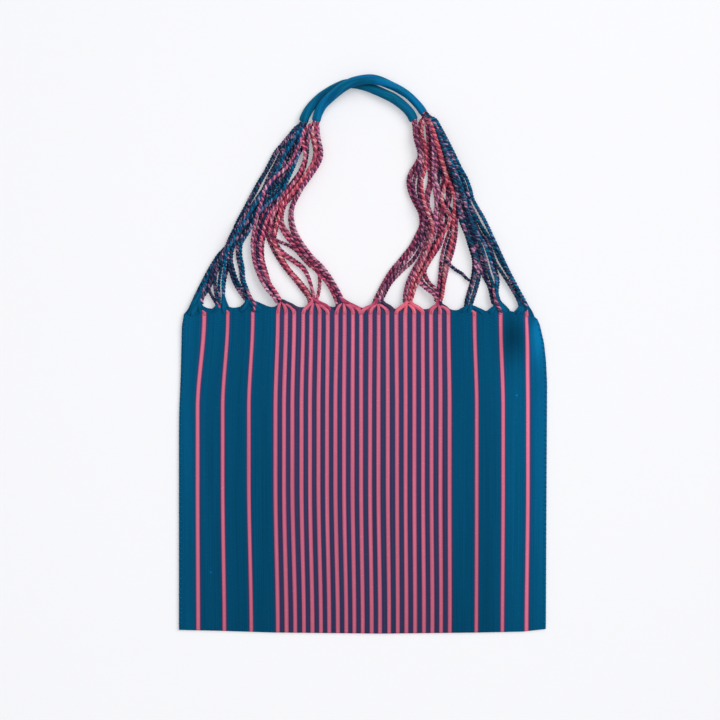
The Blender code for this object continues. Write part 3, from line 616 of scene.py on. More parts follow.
def lay_parts(add):
    """The map of a string or thread: turns round it, metres along it, and the piece's own tint."""
    place = add("SeparateXYZ", {}, {0: add("UVMap", {"uv_map": "lay"}, {})})
    tint = add("Attribute", {"attribute_name": "tint"}, {}).outputs["Fac"]
    return place.outputs[0], place.outputs[1], tint


def plied_cotton(name, first, second, fleck, fleck_share, deep):
    """Two-ply string of dyed cotton: two round plies of their own colour twist round each other.

    The eye sees slanted dashes of one colour and the other, with painted shade where they meet,
    paler and darker fibres along each ply, and flecks of another colour in clusters.
    """
    material, add, shader = new_material(name, cotton(0.88, 0.12, linear(first)))
    around, along, tint = lay_parts(add)
    spot = add("CombineXYZ", {}, {0: around, 1: along, 2: tint})
    line = add("CombineXYZ", {}, {0: along, 1: tint})
    # Noises: name, the map they lie on, features in each of its units, and detail.
    noises = {}
    for pattern, vector, scales, detail in (
            # Flecks come up in a ply for about 6 mm at a time, in clusters some 14 mm apart.
            ("flecks", spot, (2.6, 1 / (5.88 * MM), 53.0), 2.0),
            ("clusters", line, (1 / (14.3 * MM), 37.0, 0.0), 1.0),
            # The dye runs in stretches of 24 mm, and a ply is blotchy in patches of 2.4 mm.
            ("runs", line, (1 / (23.8 * MM), 91.0, 0.0), 2.0),
            ("blotches", spot, (3.0, 1 / (2.381 * MM), 77.0), 1.0),
            # Fibres are 0.02 mm thick: drawn as streaks of 0.5 mm, 26 round a string, to show.
            ("fibres", spot, (26.0, 1 / (2.381 * MM), 1.0), 3.0)):
        noises[pattern] = add("TexNoise", {}, {
            "Vector": add("VectorMath", TIMES, {0: vector, 1: scales}), "Scale": 1.0,
            "Detail": detail})
    side = add("Math", {"operation": "COSINE"}, {0: add("Math", TIMES, {0: around, 1: 2 * math.pi})})
    ply = side
    for pattern, weight in (("blotches", 3.8), ("runs", 2.4)):
        ply = add("Math", TIMES_PLUS, {
            0: add("Math", MINUS, {0: noises[pattern], 1: NOISE_MIDDLE}), 1: weight, 2: ply})
    which = add("MapRange", {}, {"Value": ply, "From Min": -0.25, "From Max": 0.25})
    colour = add("Mix", BLEND, {0: which, 6: linear(second), 7: linear(first)})
    clustered = add("Math", PLUS, {
        0: noises["flecks"], 1: add("Math", MINUS, {0: noises["clusters"], 1: NOISE_MIDDLE})})
    flecks = add("MapRange", {}, {"Value": clustered, "From Min": 0.72 - fleck_share * 0.4,
                                  "From Max": 0.8 - fleck_share * 0.34})
    # Fewer of them show on the second ply.
    shown = add("Math", TIMES, {
        0: flecks, 1: add("Math", TIMES_PLUS, {0: which, 1: 0.6, 2: 0.32})})
    colour = add("Mix", BLEND, {0: shown, 6: colour, 7: linear(fleck)})
    depth = add("MapRange", {}, {"Value": noises["runs"], "From Min": 0.46, "From Max": 0.7,
                                 "To Max": 0.5})
    colour = add("Mix", BLEND, {0: depth, 6: colour, 7: linear(deep)})
    streaks = add("MapRange", {}, {"Value": noises["fibres"], "From Min": 0.3, "From Max": 0.7,
                                   "To Min": 0.62, "To Max": 1.3})
    # Painted shade: the colour is darkened where the two plies meet, as shade falls there.
    groove_shade = add("MapRange", {}, {"Value": add("Math", {"operation": "ABSOLUTE"}, {0: side}),
                                  "From Max": 0.6, "To Min": 0.55})
    level = add("Math", TIMES_PLUS, {0: tint, 1: 0.3, 2: 0.85})
    for factor in (streaks, groove_shade):
        level = add("Math", TIMES, {0: level, 1: factor})
    set_inputs(shader, {
        "Base Color": add("Mix", SHADE, {0: 1.0, 6: colour, 7: level}),
        "Normal": add("Bump", {}, {"Height": noises["fibres"], "Strength": 0.5,
                                   "Distance": 0.3 * MM})})
    return material


def loose_warp(name, first, second):
    """Loose warp ends: soft untwisted cotton threads side by side, combed one way.

    The eye sees fine lengthwise threads, 16 round a bundle, in slightly different dyes.
    """
    material, add, shader = new_material(name, cotton(0.88, 0.12, linear(first)))
    around, along, tint = lay_parts(add)
    spot = add("CombineXYZ", {}, {0: around, 1: along, 2: tint})
    scaled = add("VectorMath", TIMES, {0: spot, 1: (16.0, 1 / (11.11 * MM), 40.0)})
    thread = add("TexNoise", {}, {"Vector": scaled, "Scale": 1.0, "Detail": 2.0})
    share = add("MapRange", {}, {"Value": thread, "From Min": 0.38, "From Max": 0.62})
    set_inputs(shader, {
        "Base Color": add("Mix", BLEND, {0: share, 6: linear(second), 7: linear(first)}),
        "Normal": add("Bump", {}, {"Height": thread, "Strength": 0.6, "Distance": 0.4 * MM})})
    return material


def wrapped_thread(name, base):
    """Mercerised cotton thread wound close: a slight lustre, fine turns across the handle.

    The turns are in the mesh. Soft light and dark streaks along the handle are painted light and
    shade of the low ridges over the cords under the thread, and places are worn towards green.
    """
    material, add, shader = new_material(name, cotton(0.6, 0.04, base, 0.05))
    around, along, _ = lay_parts(add)
    turn = add("Math", TIMES, {0: around, 1: 2 * math.pi})
    ring = add("CombineXYZ", {}, {0: add("Math", {"operation": "COSINE"}, {0: turn}),
                                  1: add("Math", {"operation": "SINE"}, {0: turn}), 2: along})
    spot = add("VectorMath", TIMES, {0: ring, 1: (1.1, 1.1, 1 / (41.67 * MM))})
    # Painted light and shade of the ridges: streaks lighter and darker along the handle.
    bands = add("TexNoise", {}, {"Vector": spot, "Scale": 1.0, "Detail": 3.0})
    worn = add("TexNoise", {}, {"Vector": spot, "Scale": 2.3, "Detail": 2.0})
    # The dye drifts a little from one end of the handle to the other.
    drift = add("TexNoise", {"noise_dimensions": "1D"}, {
        "W": add("Math", TIMES, {0: along, 1: 1 / (1571 * MM)}), "Scale": 1.0, "Detail": 1.0})
    level = add("Math", TIMES, {
        0: add("MapRange", {}, {"Value": bands, "From Min": 0.38, "From Max": 0.6, "To Min": 0.7,
                                "To Max": 1.26}),
        1: add("MapRange", {}, {"Value": drift, "From Min": 0.3, "From Max": 0.7,
                                "To Min": 0.86, "To Max": 1.14})})
    greener = add("MapRange", {}, {"Value": worn, "From Min": 0.48, "From Max": 0.68,
                                   "To Max": 0.7})
    dyed = add("Mix", BLEND, {0: greener, 6: base, 7: linear("#04747f")})
    set_inputs(shader, {"Base Color": add("Mix", SHADE, {0: 1.0, 6: dyed, 7: level})})
    return material


FOLD_WAY = 350.0 * MM   # way along the cloth from its back rim to the fold
LOOSE_PICKS = (16 * MM, 8 * MM)     # way below the rim where the last picks begin and are full
WAVE_PERIOD = 2 * math.pi / 20      # of a wave texture of scale 1, in metres
# Places made paler and darker, nearly all painted light and shade: paler along both sides and on
# the rolled corner at the top right, where the cloth tilts towards the light, darker in the dips
# beside that corner, and two tiny pale specks. Place across, way along, reach each way and change.
PAINTED_LIGHT_AND_SPECKS = (
    (-194.0, 480.0, 12.0, 500.0, 0.32), (-163.0, 480.0, 15.0, 500.0, 0.06),
    (168.0, 520.0, 19.0, 420.0, 0.28), (196.0, 550.0, 14.0, 300.0, 0.55),
    (192.0, 668.0, 7.0, 24.0, 0.6), (190.0, 690.0, 5.0, 6.0, -0.3),
    (164.5, 676.0, 13.0, 27.0, -0.55), (167.9, 611.0, 0.9, 0.9, 1.5),
    (-166.8, 420.0, 0.9, 0.9, 1.2),
)


def striped_cotton(colours):
    """Warp-faced hand-woven cotton: the warp hides the weft, so stripes run the way of the warp.

    The eye sees fine upright ribs, threads of uneven dye that run the full length, short paler
    ticks where a weft slub pushes through, and coral stripes on teal, or on navy in the middle.
    The map's u is the warp's place across the cloth and v the way along it, both in metres.
    """
    constants = cotton(0.9, 0.06, tuple(colours.teal_light))
    material, add, shader = new_material("hand_woven_striped_cotton", constants)
    place = add("UVMap", {"uv_map": "warp"}, {})
    coral, block, edge = (add("Attribute", {"attribute_name": name}, {}).outputs["Fac"]
                          for name in ("coral", "block", "edge"))
    # Noises: name, size of a feature across the warp and along it, and detail.
    noises = {}
    for pattern, across, down, detail in (
            # Warp threads are 0.5 mm wide: their ribs are drawn 1.1 mm apart, so that they show.
            ("threads", 1.111, 200.0, 2.0),
            # Bands of warp from one dye lot.
            ("lots", 11.76, 333.3, 2.0),
            # A slub in the weft shows as a tick 6 mm long.
            ("ticks", 6.25, 1.25, 1.0)):
        scales = (1 / (across * MM), 1 / (down * MM), 0.0)
        noises[pattern] = add("TexNoise", {}, {
            "Vector": add("VectorMath", TIMES, {0: place, 1: scales}), "Scale": 1.0,
            "Detail": detail})
    threads = noises["threads"]
    teal = add("Mix", BLEND, {0: noises["lots"], 6: tuple(colours.teal),
                              7: tuple(colours.teal_light)})
    ground = add("Mix", BLEND, {0: block, 6: teal, 7: tuple(colours.navy)})
    # The edge of a stripe is a thread or two uneven, and a navy thread runs along it.
    ragged = add("Math", TIMES_PLUS, {
        0: add("Math", MINUS, {0: threads, 1: NOISE_MIDDLE}), 1: 0.35, 2: coral})
    stripe = add("MapRange", {}, {"Value": ragged, "From Min": 0.36, "From Max": 0.64})
    colour = add("Mix", BLEND, {0: stripe, 6: ground, 7: tuple(colours.coral)})
    colour = add("Mix", BLEND, {0: add("Math", TIMES, {0: edge, 1: 0.75}), 6: colour,
                                7: linear("#392f5c")})
    # Painted light and shade: the cloth is made paler at the mouth and darker towards the fold, as the
    # light falls on it, and paler and darker at the listed places.
    down = add("SeparateXYZ", {}, {0: place}).outputs[1]
    from_fold = add("Math", {"operation": "ABSOLUTE"}, {
        0: add("Math", MINUS, {0: down, 1: FOLD_WAY})})
    level = add("MapRange", {}, {"Value": from_fold, "From Max": FOLD_WAY, "To Min": 0.80,
                                 "To Max": 1.03})
    for x, way, reach_x, reach_way, change in PAINTED_LIGHT_AND_SPECKS:
        off = add("VectorMath", MINUS, {0: place, 1: (x * MM, way * MM, 0.0)})
        off = add("VectorMath", TIMES, {
            0: off, 1: (1 / (reach_x * MM), 1 / (reach_way * MM), 0.0)})
        square = add("VectorMath", {"operation": "DOT_PRODUCT"}, {0: off, 1: off})
        spot = add("Math", {"operation": "POWER"}, {0: 1 / math.e, 1: square})
        level = add("Math", TIMES, {
            0: level, 1: add("Math", TIMES_PLUS, {0: spot, 1: change, 2: 1.0})})
    for pattern, low, high, darkest, lightest in (
            ("threads", 0.25, 0.75, 0.84, 1.16), ("ticks", 0.62, 0.8, 1.0, 1.28)):
        factor = add("MapRange", {}, {"Value": noises[pattern], "From Min": low,
                                      "From Max": high, "To Min": darkest, "To Max": lightest})
        level = add("Math", TIMES, {0: level, 1: factor})
    # Weft picks are 1 mm apart, drawn 2 mm apart. The last ones below the loose ends are thicker
    # and stand 3 mm apart.
    picks = add("TexWave", {"bands_direction": "Y"}, {
        "Vector": place, "Scale": WAVE_PERIOD / (1.9635 * MM), "Distortion": 1.5, "Detail": 1.0,
        "Detail Scale": 200.0}).outputs["Fac"]
    thick_picks = add("TexWave", {"bands_direction": "Y"}, {
        "Vector": place, "Scale": WAVE_PERIOD / (2.992 * MM), "Distortion": 0.6}).outputs["Fac"]
    near_mouth = add("MapRange", {}, {"Value": from_fold, "From Min": FOLD_WAY - LOOSE_PICKS[0],
                                      "From Max": FOLD_WAY - LOOSE_PICKS[1]})
    relief = add("Math", TIMES_PLUS, {0: picks, 1: 0.35, 2: threads})
    relief = add("Math", TIMES_PLUS, {0: thick_picks, 1: near_mouth, 2: relief})
    set_inputs(shader, {
        "Base Color": add("Mix", SHADE, {0: 1.0, 6: colour, 7: level}),
        "Normal": add("Bump", {}, {"Height": relief, "Strength": 0.55, "Distance": 0.35 * MM})})
    return material


# Meshes.

def add_piece(name, shape, material, attributes, map_name="lay"):
    """Points in millimetres, faces and map corners as a finished piece that rides with the bag."""
    points, faces, corners = shape
    mesh = bpy.data.meshes.new(name)
    mesh.from_pydata((points * MM).tolist(), [], faces)
    layer = mesh.uv_layers.new(name=map_name)
    layer.data.foreach_set("uv", corners.astype(np.float32).ravel())
    for attribute_name, values in attributes.items():
        attribute = mesh.attributes.new(attribute_name, "FLOAT", "POINT")
        attribute.data.foreach_set("value", values.astype(np.float32).ravel())
    mesh.materials.append(material)
    mesh.shade_smooth()
    piece = bpy.data.objects.new(name, mesh)
    bpy.context.scene.collection.objects.link(piece)
    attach(piece, BODY)
    return piece


def unit(vectors):
    """Vectors brought to length 1."""
    return vectors / np.linalg.norm(vectors, axis=1)[:, None]


def tube(path, section, turns, widths, heights, square_to=(0.0, 0.0, 1.0)):
    """Points, faces and map corners of a closed tube along a path.

    section is its radius at evenly spaced corners. turns turns it, in radians, and widths and
    heights scale it, each as one number or as one for each point of the path. The width lies
    square to the path and to square_to. The map's u goes round the tube, and v along it.
    """
    tangent = unit(np.gradient(path, axis=0))
    side = unit(np.cross(tangent, square_to))
    up = np.cross(side, tangent)
    corners, last_ring = len(section), len(path) - 1
    turned = 2 * np.pi * np.arange(corners) / corners + np.reshape(turns, (-1, 1))
    across = np.cos(turned) * section * np.reshape(widths, (-1, 1))
    high = np.sin(turned) * section * np.reshape(heights, (-1, 1))
    points = path[:, None] + side[:, None] * across[..., None] + up[:, None] * high[..., None]
    ring, corner = np.meshgrid(np.arange(last_ring), np.arange(corners), indexing="ij")
    following = (corner + 1) % corners
    faces = np.stack([ring * corners + corner, (ring + 1) * corners + corner,
                      (ring + 1) * corners + following, ring * corners + following], axis=-1)
    along = lengths_along(path) * MM
    around = np.stack([corner, corner, corner + 1, corner + 1], axis=-1) / corners
    onward = along[np.stack([ring, ring + 1, ring + 1, ring], axis=-1)]
    caps = [list(range(corners)), [last_ring * corners + number for number in reversed(range(corners))]]
    cap_corners = [[0.25, along[0]]] * corners + [[0.25, along[-1]]] * corners
    return (points.reshape(-1, 3), faces.reshape(-1, 4).tolist() + caps,
            np.vstack([np.stack([around, onward], axis=-1).reshape(-1, 2), cap_corners]))


def joined(shapes):
    """Several shapes as one."""
    faces, start = [], 0
    for points, shape_faces, _ in shapes:
        faces += [[start + vertex for vertex in face] for face in shape_faces]
        start += len(points)
    return np.vstack([shape[0] for shape in shapes]), faces, np.vstack([shape[2] for shape in shapes])


def ribbed_section(corners, depth):
    """Radius at its corners of a round section of radius 1 with five low ribs."""
    return 1 + depth * np.cos(5 * 2 * np.pi * np.arange(corners) / corners)


# The cloth.

SIDE_ROUNDING = 3.5     # how far to both sides the bends of an edge are rounded
RIM_ROUNDING = 2.0
RIM_INSET = 0.5         # just inside the rim
SETTLING_ROUNDS = 5     # rounds in which a point of a warp thread finds its place
# A stripe's flank: place out from half the stripe's width, how coral it is and how near the edge.
STRIPE_FLANK = ((1.5, 0.0, 0.0), (0.4, 0.0, 1.0), (-0.4, 1.0, 0.7), (-1.2, 1.0, 0.0))
LONE_STRIPE = 0.92      # width of a stripe outside the block, as a share of the others'
BLOCK_MARGIN = 3.2      # navy beyond the middle of the block's outer stripes
# Rows of the mesh as shares of the depth from the rim to the fold: close together at the rim.
RIM_ROWS = np.linspace(0, 0.075, 22)
BACK_ROWS = np.concatenate([RIM_ROWS[::3], np.linspace(0.1, 1, 36)])
FRONT_ROWS = np.concatenate([RIM_ROWS, np.linspace(0.085, 1, 88)])
# The mouth puckers: height, length of a wave, y where it starts and way to its full height.
PUCKER_HEIGHT, PUCKER_WAVE, PUCKER_Y, PUCKER_REACH = 0.3, 9.4, 30.0, 14.0
# A crease is pressed in above the fold: height, y and reach.
CREASE_HEIGHT, CREASE_Y, CREASE_REACH = -0.35, -298.6, 0.9
WEAVE_FADE = 0.8        # how far to both sides of WEAVE_END_Y the stripes fade out


def cloth_edges(y):
    """The cloth's left and right edge at a height, with the tables' bends rounded."""
    return rounded_value(LEFT_SIDE, y, SIDE_ROUNDING), rounded_value(RIGHT_SIDE, y, SIDE_ROUNDING)


def rim_y(x):
    """y of the front rim: low between the roots, with a rounded peak at each of them."""
    return rounded_value(RIM, x, RIM_ROUNDING)


def air_gap(across, depth, x, y):
    """Air between the two layers, at shares of the width and the depth: widest in the middle."""
    closing = np.clip(1 - depth / MOUTH_SHARE, 0, 1) ** 2
    edge = EDGE_GAP + (MOUTH_EDGE_GAP - EDGE_GAP) * closing
    crown = (1 - np.abs(2 * across - 1) ** 2.5) * (1 - depth ** 6)
    rise = sum(height * np.exp(-((x - rise_x) / reach_x) ** 2 - ((y - rise_y) / reach_y) ** 2)
               for rise_x, rise_y, height, reach_x, reach_y in RISES)
    held = smooth_step(EDGE_HOLD * np.minimum(np.minimum(across, 1 - across), 1 - depth))
    return edge + (CROWN_GAP - edge) * crown + rise * held


def warp_x(place, y):
    """x of a warp thread at a height, from its place at mid height."""
    left, right = cloth_edges(y)
    at_mouth, middle, at_foot = np.array(STRIPES).T
    to_top = smooth_step((y - STRIPE_MIDDLE_Y) / (STRIPE_TOP_Y - STRIPE_MIDDLE_Y))
    to_foot = smooth_step((STRIPE_LOW_Y - y) / (STRIPE_LOW_Y - STRIPE_FOOT_Y))
    knots = [WARP_LEFT, *middle, WARP_RIGHT]
    shift = (np.interp(place, knots, [0, *(at_mouth - middle), 0]) * to_top
             + np.interp(place, knots, [0, *(at_foot - middle), 0]) * to_foot)
    at_left = np.clip((middle[0] - place) / (middle[0] - WARP_LEFT), 0, 1)
    at_right = np.clip((place - middle[-1]) / (WARP_RIGHT - middle[-1]), 0, 1)
    return place + shift + (left - WARP_LEFT) * at_left + (right - WARP_RIGHT) * at_right


def cloth_place(place, depth, rise):
    """x, y and share of the width of cloth points, from warp place and share of the depth."""
    y = rim_y(place) + rise
    for _ in range(SETTLING_ROUNDS):
        x = warp_x(place, y)
        top = rim_y(x) + rise
        y = top + depth * (table_value(BOTTOM_SIDE, x) + FOLD_RADIUS - top)
    left, right = cloth_edges(y)
    return x, y, np.clip((x - left) / (right - left), 0, 1)


def front_surface(x, y):
    """Height of the front layer's outer side at a place on it."""
    left, right = cloth_edges(y)
    top = rim_y(x)
    depth = np.clip((top - y) / (top - table_value(BOTTOM_SIDE, x)), 0, 1)
    return TWO_LAYERS + air_gap(np.clip((x - left) / (right - left), 0, 1), depth, x, y)


def height_under(x, y):
    """Height of the front layer under a place, or just inside its rim if the place is beyond it."""
    return front_surface(x, np.minimum(y, rim_y(x) - RIM_INSET))


def warp_columns(step, width):
    """Places of the mesh's columns, with how coral and how near a stripe's edge each is."""
    knots = [(WARP_LEFT, 0.0, 0.0)]
    for number, (_, middle, _) in enumerate(STRIPES):
        half = width / 2 * (1.0 if BLOCK_FIRST <= number <= BLOCK_LAST else LONE_STRIPE)
        knots += [(middle - half - out, coral, edge) for out, coral, edge in STRIPE_FLANK]
        knots.append((middle, 1.0, 0.0))
        knots += [(middle + half + out, coral, edge) for out, coral, edge in reversed(STRIPE_FLANK)]
    knots.append((WARP_RIGHT, 0.0, 0.0))
    columns = [knots[:1]]
    for start, end in zip(knots, knots[1:]):
        count = max(math.ceil((end[0] - start[0]) / step), 1)
        columns.append(np.linspace(start, end, count + 1)[1:])
    return np.vstack(columns)


def cloth_grid(settings):
    """The outer side of the folded cloth as a grid: from the back rim round the fold to the front.

    Gives the points, the warp's place and the way along it for each, and how coral, how near a
    stripe's edge and how far into the navy block each is.
    """
    place, stripe, edge = warp_columns(settings.column_step / MM, settings.stripe_width / MM).T
    rows = []
    for share in BACK_ROWS:
        x, y, _ = cloth_place(place, share, BACK_RISE)
        rows.append(np.column_stack([x, y, np.zeros_like(x)]))
    x, y, _ = cloth_place(place, 1.0, 0.0)
    for step in range(1, FOLD_STEPS):
        angle = math.pi * step / FOLD_STEPS - math.pi / 2
        rows.append(np.column_stack([x, y - FOLD_RADIUS * math.cos(angle), np.full_like(
            x, FOLD_RADIUS + FOLD_RADIUS * math.sin(angle))]))
    for share in FRONT_ROWS[::-1]:
        x, y, across = cloth_place(place, share, 0.0)
        pucker = np.sin(2 * np.pi * x / PUCKER_WAVE) * smooth_step((y - PUCKER_Y) / PUCKER_REACH)
        crease = np.exp(-((y - CREASE_Y) / CREASE_REACH) ** 2)
        rows.append(np.column_stack([x, y, TWO_LAYERS + air_gap(across, share, x, y)
                                     + PUCKER_HEIGHT * pucker + CREASE_HEIGHT * crease]))
    grid = np.array(rows)
    steps = np.linalg.norm(np.diff(grid, axis=0), axis=2)
    way = np.vstack([np.zeros(grid.shape[1]), np.cumsum(steps, axis=0)])
    woven = smooth_step((WEAVE_END_Y + WEAVE_FADE - grid[..., 1]) / (2 * WEAVE_FADE))
    block = ((place > STRIPES[BLOCK_FIRST][1] - BLOCK_MARGIN)
             & (place < STRIPES[BLOCK_LAST][1] + BLOCK_MARGIN)) * np.ones_like(woven)
    places = np.broadcast_to(place, woven.shape)
    return grid, places, way, {"coral": stripe * woven, "edge": edge * woven, "block": block}


class BAG_OT_cloth(bpy.types.Operator):
    """Weave and fold the striped cloth"""

    bl_idname = "bag.cloth"
    bl_label = "Striped cloth"

    def execute(self, context):
        settings = context.scene.bag_cloth
        grid, places, way, attributes = cloth_grid(settings)
        height, width = way.shape
        low = np.arange(height - 1)[:, None] * width + np.arange(width - 1)
        faces = np.stack([low, low + 1, low + width + 1, low + width], axis=-1).reshape(-1, 4)
        spots = np.stack([places, way], -1).reshape(-1, 2) * MM
        piece = add_piece("cloth", (grid.reshape(-1, 3), faces.tolist(), spots[faces]),
                          striped_cotton(context.scene.bag_colours), attributes,
                          "warp")
        wall = piece.modifiers.new("wall", "SOLIDIFY")
        wall.thickness = settings.thickness
        wall.offset = -1.0
        wall.use_even_offset = True
        bpy.ops.object.select_all(action="DESELECT")
        context.view_layer.objects.active = piece
        piece.select_set(True)
        bpy.ops.object.modifier_apply(modifier=wall.name)
        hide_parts("cloth_pouch")
        return {"FINISHED"}


# The strings.

TWO_PLY = 12            # corners of a string's section
PLY_OFFSET = 0.32       # middle of a ply from the string's middle, in string radii
PLY_RADIUS = 0.68
STEPS_A_TURN = 8        # points of a string's way in one full turn of its plies
WAY_STEP = 2.0          # from point to point of a way that is still to settle
STEEPEST = 0.3          # how much a string rises or falls for each millimetre of its way
SINKS_ABOVE = 7.0       # a heap sinks together above this height, to this share of it
SUNK_SHARE = 0.86
END_REACH = 26.0        # way over which a string comes to the height of its handle's end
NARROW_REACH = 22.0     # way over which it is pressed thinner there, by this share
NARROW_SHARE = 0.3
# How uneven a string is: its turn as a share of the usual one, how far it strays from its way, how
# far its twist runs ahead, in radians, and by which share it is thicker.
LEAST_TURN, MOST_TURN = 0.86, 1.16
STRAYING = 0.18
TWIST_LEAD = 0.8
SWELLING = 0.05
END_SPREAD = 3.0        # how far from the middle of a handle's end strings are held
BACK_FOOT = 2.1         # height of a string's foot in the back rim
FOOT_DEPTH = 1.2        # depth of a string's foot below the front layer's surface
FOOT_TOP_Y = 50.0       # a foot beyond this takes its height from here
LIFT = 1.02             # height of a string's middle on the floor, in its radii
PRESSED_IN = 0.8        # spread of the strings inside a handle's end, as a share of that at its mouth
SHIFT_POINTS = 4        # points of a back string's route over which its shift sets in
# The golden angle, in radians, and the golden ratio's part past 1 spread places evenly over an end.
EVEN_TURN, EVEN_STEP = 2.4, 0.618
RIM_REST = 2.0          # how far beyond the rim a crossing string still rests on it
BRIDGE_LIFT = 0.4       # height of its middle over the cloth
BRIDGE_DEPTH = 3.4      # how deep it starts if it comes out of the cloth, and over which way
BRIDGE_RISE = 4.5       # it comes up


def two_ply_section():
    """Radius of a two-ply string's section at its corners, for a string of radius 1."""
    angle = 2 * np.pi * np.arange(TWO_PLY) / TWO_PLY
    return (PLY_OFFSET * np.abs(np.cos(angle))
            + np.sqrt(PLY_RADIUS ** 2 - (PLY_OFFSET * np.sin(angle)) ** 2))


class Heap:
    """A map of how high the strings laid so far reach, in square cells."""

    cell = 0.8
    left, low = -215.0, 20.0
    width, height = 540, 370

    def __init__(self, radius, flattening):
        self.top = np.zeros((self.height, self.width))
        self.radius = radius
        self.flattening = flattening

    def around(self, x, y):
        """The cells under a string at a place, its round side's height in each, and which it covers."""
        column = int((x - self.left) / self.cell)
        row = int((y - self.low) / self.cell)
        reach = int(self.radius / self.cell) + 1
        rows = np.arange(max(row - reach, 0), min(row + reach + 1, self.height))
        columns = np.arange(max(column - reach, 0), min(column + reach + 1, self.width))
        dy = self.low + (rows + 0.5) * self.cell - y
        dx = self.left + (columns + 0.5) * self.cell - x
        under = self.radius ** 2 - (dy[:, None] ** 2 + dx[None, :] ** 2)
        return np.ix_(rows, columns), np.sqrt(np.clip(under, 0, None)) * self.flattening, under > 0

    def bed(self, way):
        """Lowest middle height of a string at each point of its way."""
        needed = []
        for x, y in way:
            cells, dome, inside = self.around(x, y)
            needed.append(np.max(np.where(inside, self.top[cells] + dome, 0)))
        return np.maximum(needed, self.radius * LIFT)

    def lay(self, path):
        """Add a string to the heap."""
        for x, y, z in path:
            cells, dome, inside = self.around(x, y)
            self.top[cells] = np.where(inside, np.maximum(self.top[cells], z + dome), self.top[cells])


def string_way(route, end, foot_height, spread, heap):
    """Settled way of one string, from its foot to the place where its handle grips it."""
    mouth_x, mouth_y, inner_x, inner_y, end_height = HANDLE_ENDS[end]
    forward = np.array([inner_x - mouth_x, inner_y - mouth_y])
    sideways = np.array([forward[1], -forward[0]]) / np.linalg.norm(forward)
    grip = np.array([mouth_x, mouth_y]) + sideways * spread[0]
    inside = np.array([inner_x, inner_y]) + sideways * spread[0] * PRESSED_IN
    flat = smooth_path([*route, grip, inside], WAY_STEP)
    along = lengths_along(flat)
    bed = heap.bed(flat)
    held = np.array([np.max(bed - STEEPEST * np.abs(along - here)) for here in along])
    height = np.maximum(softened(held, passes=6), foot_height - STEEPEST * along)
    # A thick heap sinks together under its own weight.
    height = np.where(height > SINKS_ABOVE, SINKS_ABOVE + (height - SINKS_ABOVE) * SUNK_SHARE, height)
    height = softened(height, passes=4)
    height[0] = foot_height
    to_end = smooth_step(1 - (along[-1] - along) / END_REACH)
    return np.column_stack([flat, height * (1 - to_end) + (end_height + spread[1]) * to_end])


def string_piece(name, path, settings, material, slot, random):
    """One two-ply string along a settled way, with its own uneven twist and thickness."""
    turn = settings.turn / MM * random.uniform(LEAST_TURN, MOST_TURN)
    way = smooth_path(path, turn / STEPS_A_TURN)
    count = len(way)
    along = lengths_along(way)
    for axis in (0, 1):
        way[:, axis] += STRAYING * wobble(random, count, smoothness=22)
    turns = (2 * np.pi * along / turn + TWIST_LEAD * wobble(random, count, smoothness=16)
             + random.uniform(0, 6.3))
    swelling = 1 + SWELLING * wobble(random, count, smoothness=26)
    thickness = settings.diameter / MM / 2 * swelling
    thickness *= 1 - NARROW_SHARE * smooth_step(1 - (along[-1] - along) / NARROW_REACH)
    shape = tube(way, two_ply_section(), turns, thickness, thickness)
    tint = np.full(len(shape[0]), random.uniform(0, 1))
    return add_piece(name, shape, material, {"tint": tint}), way


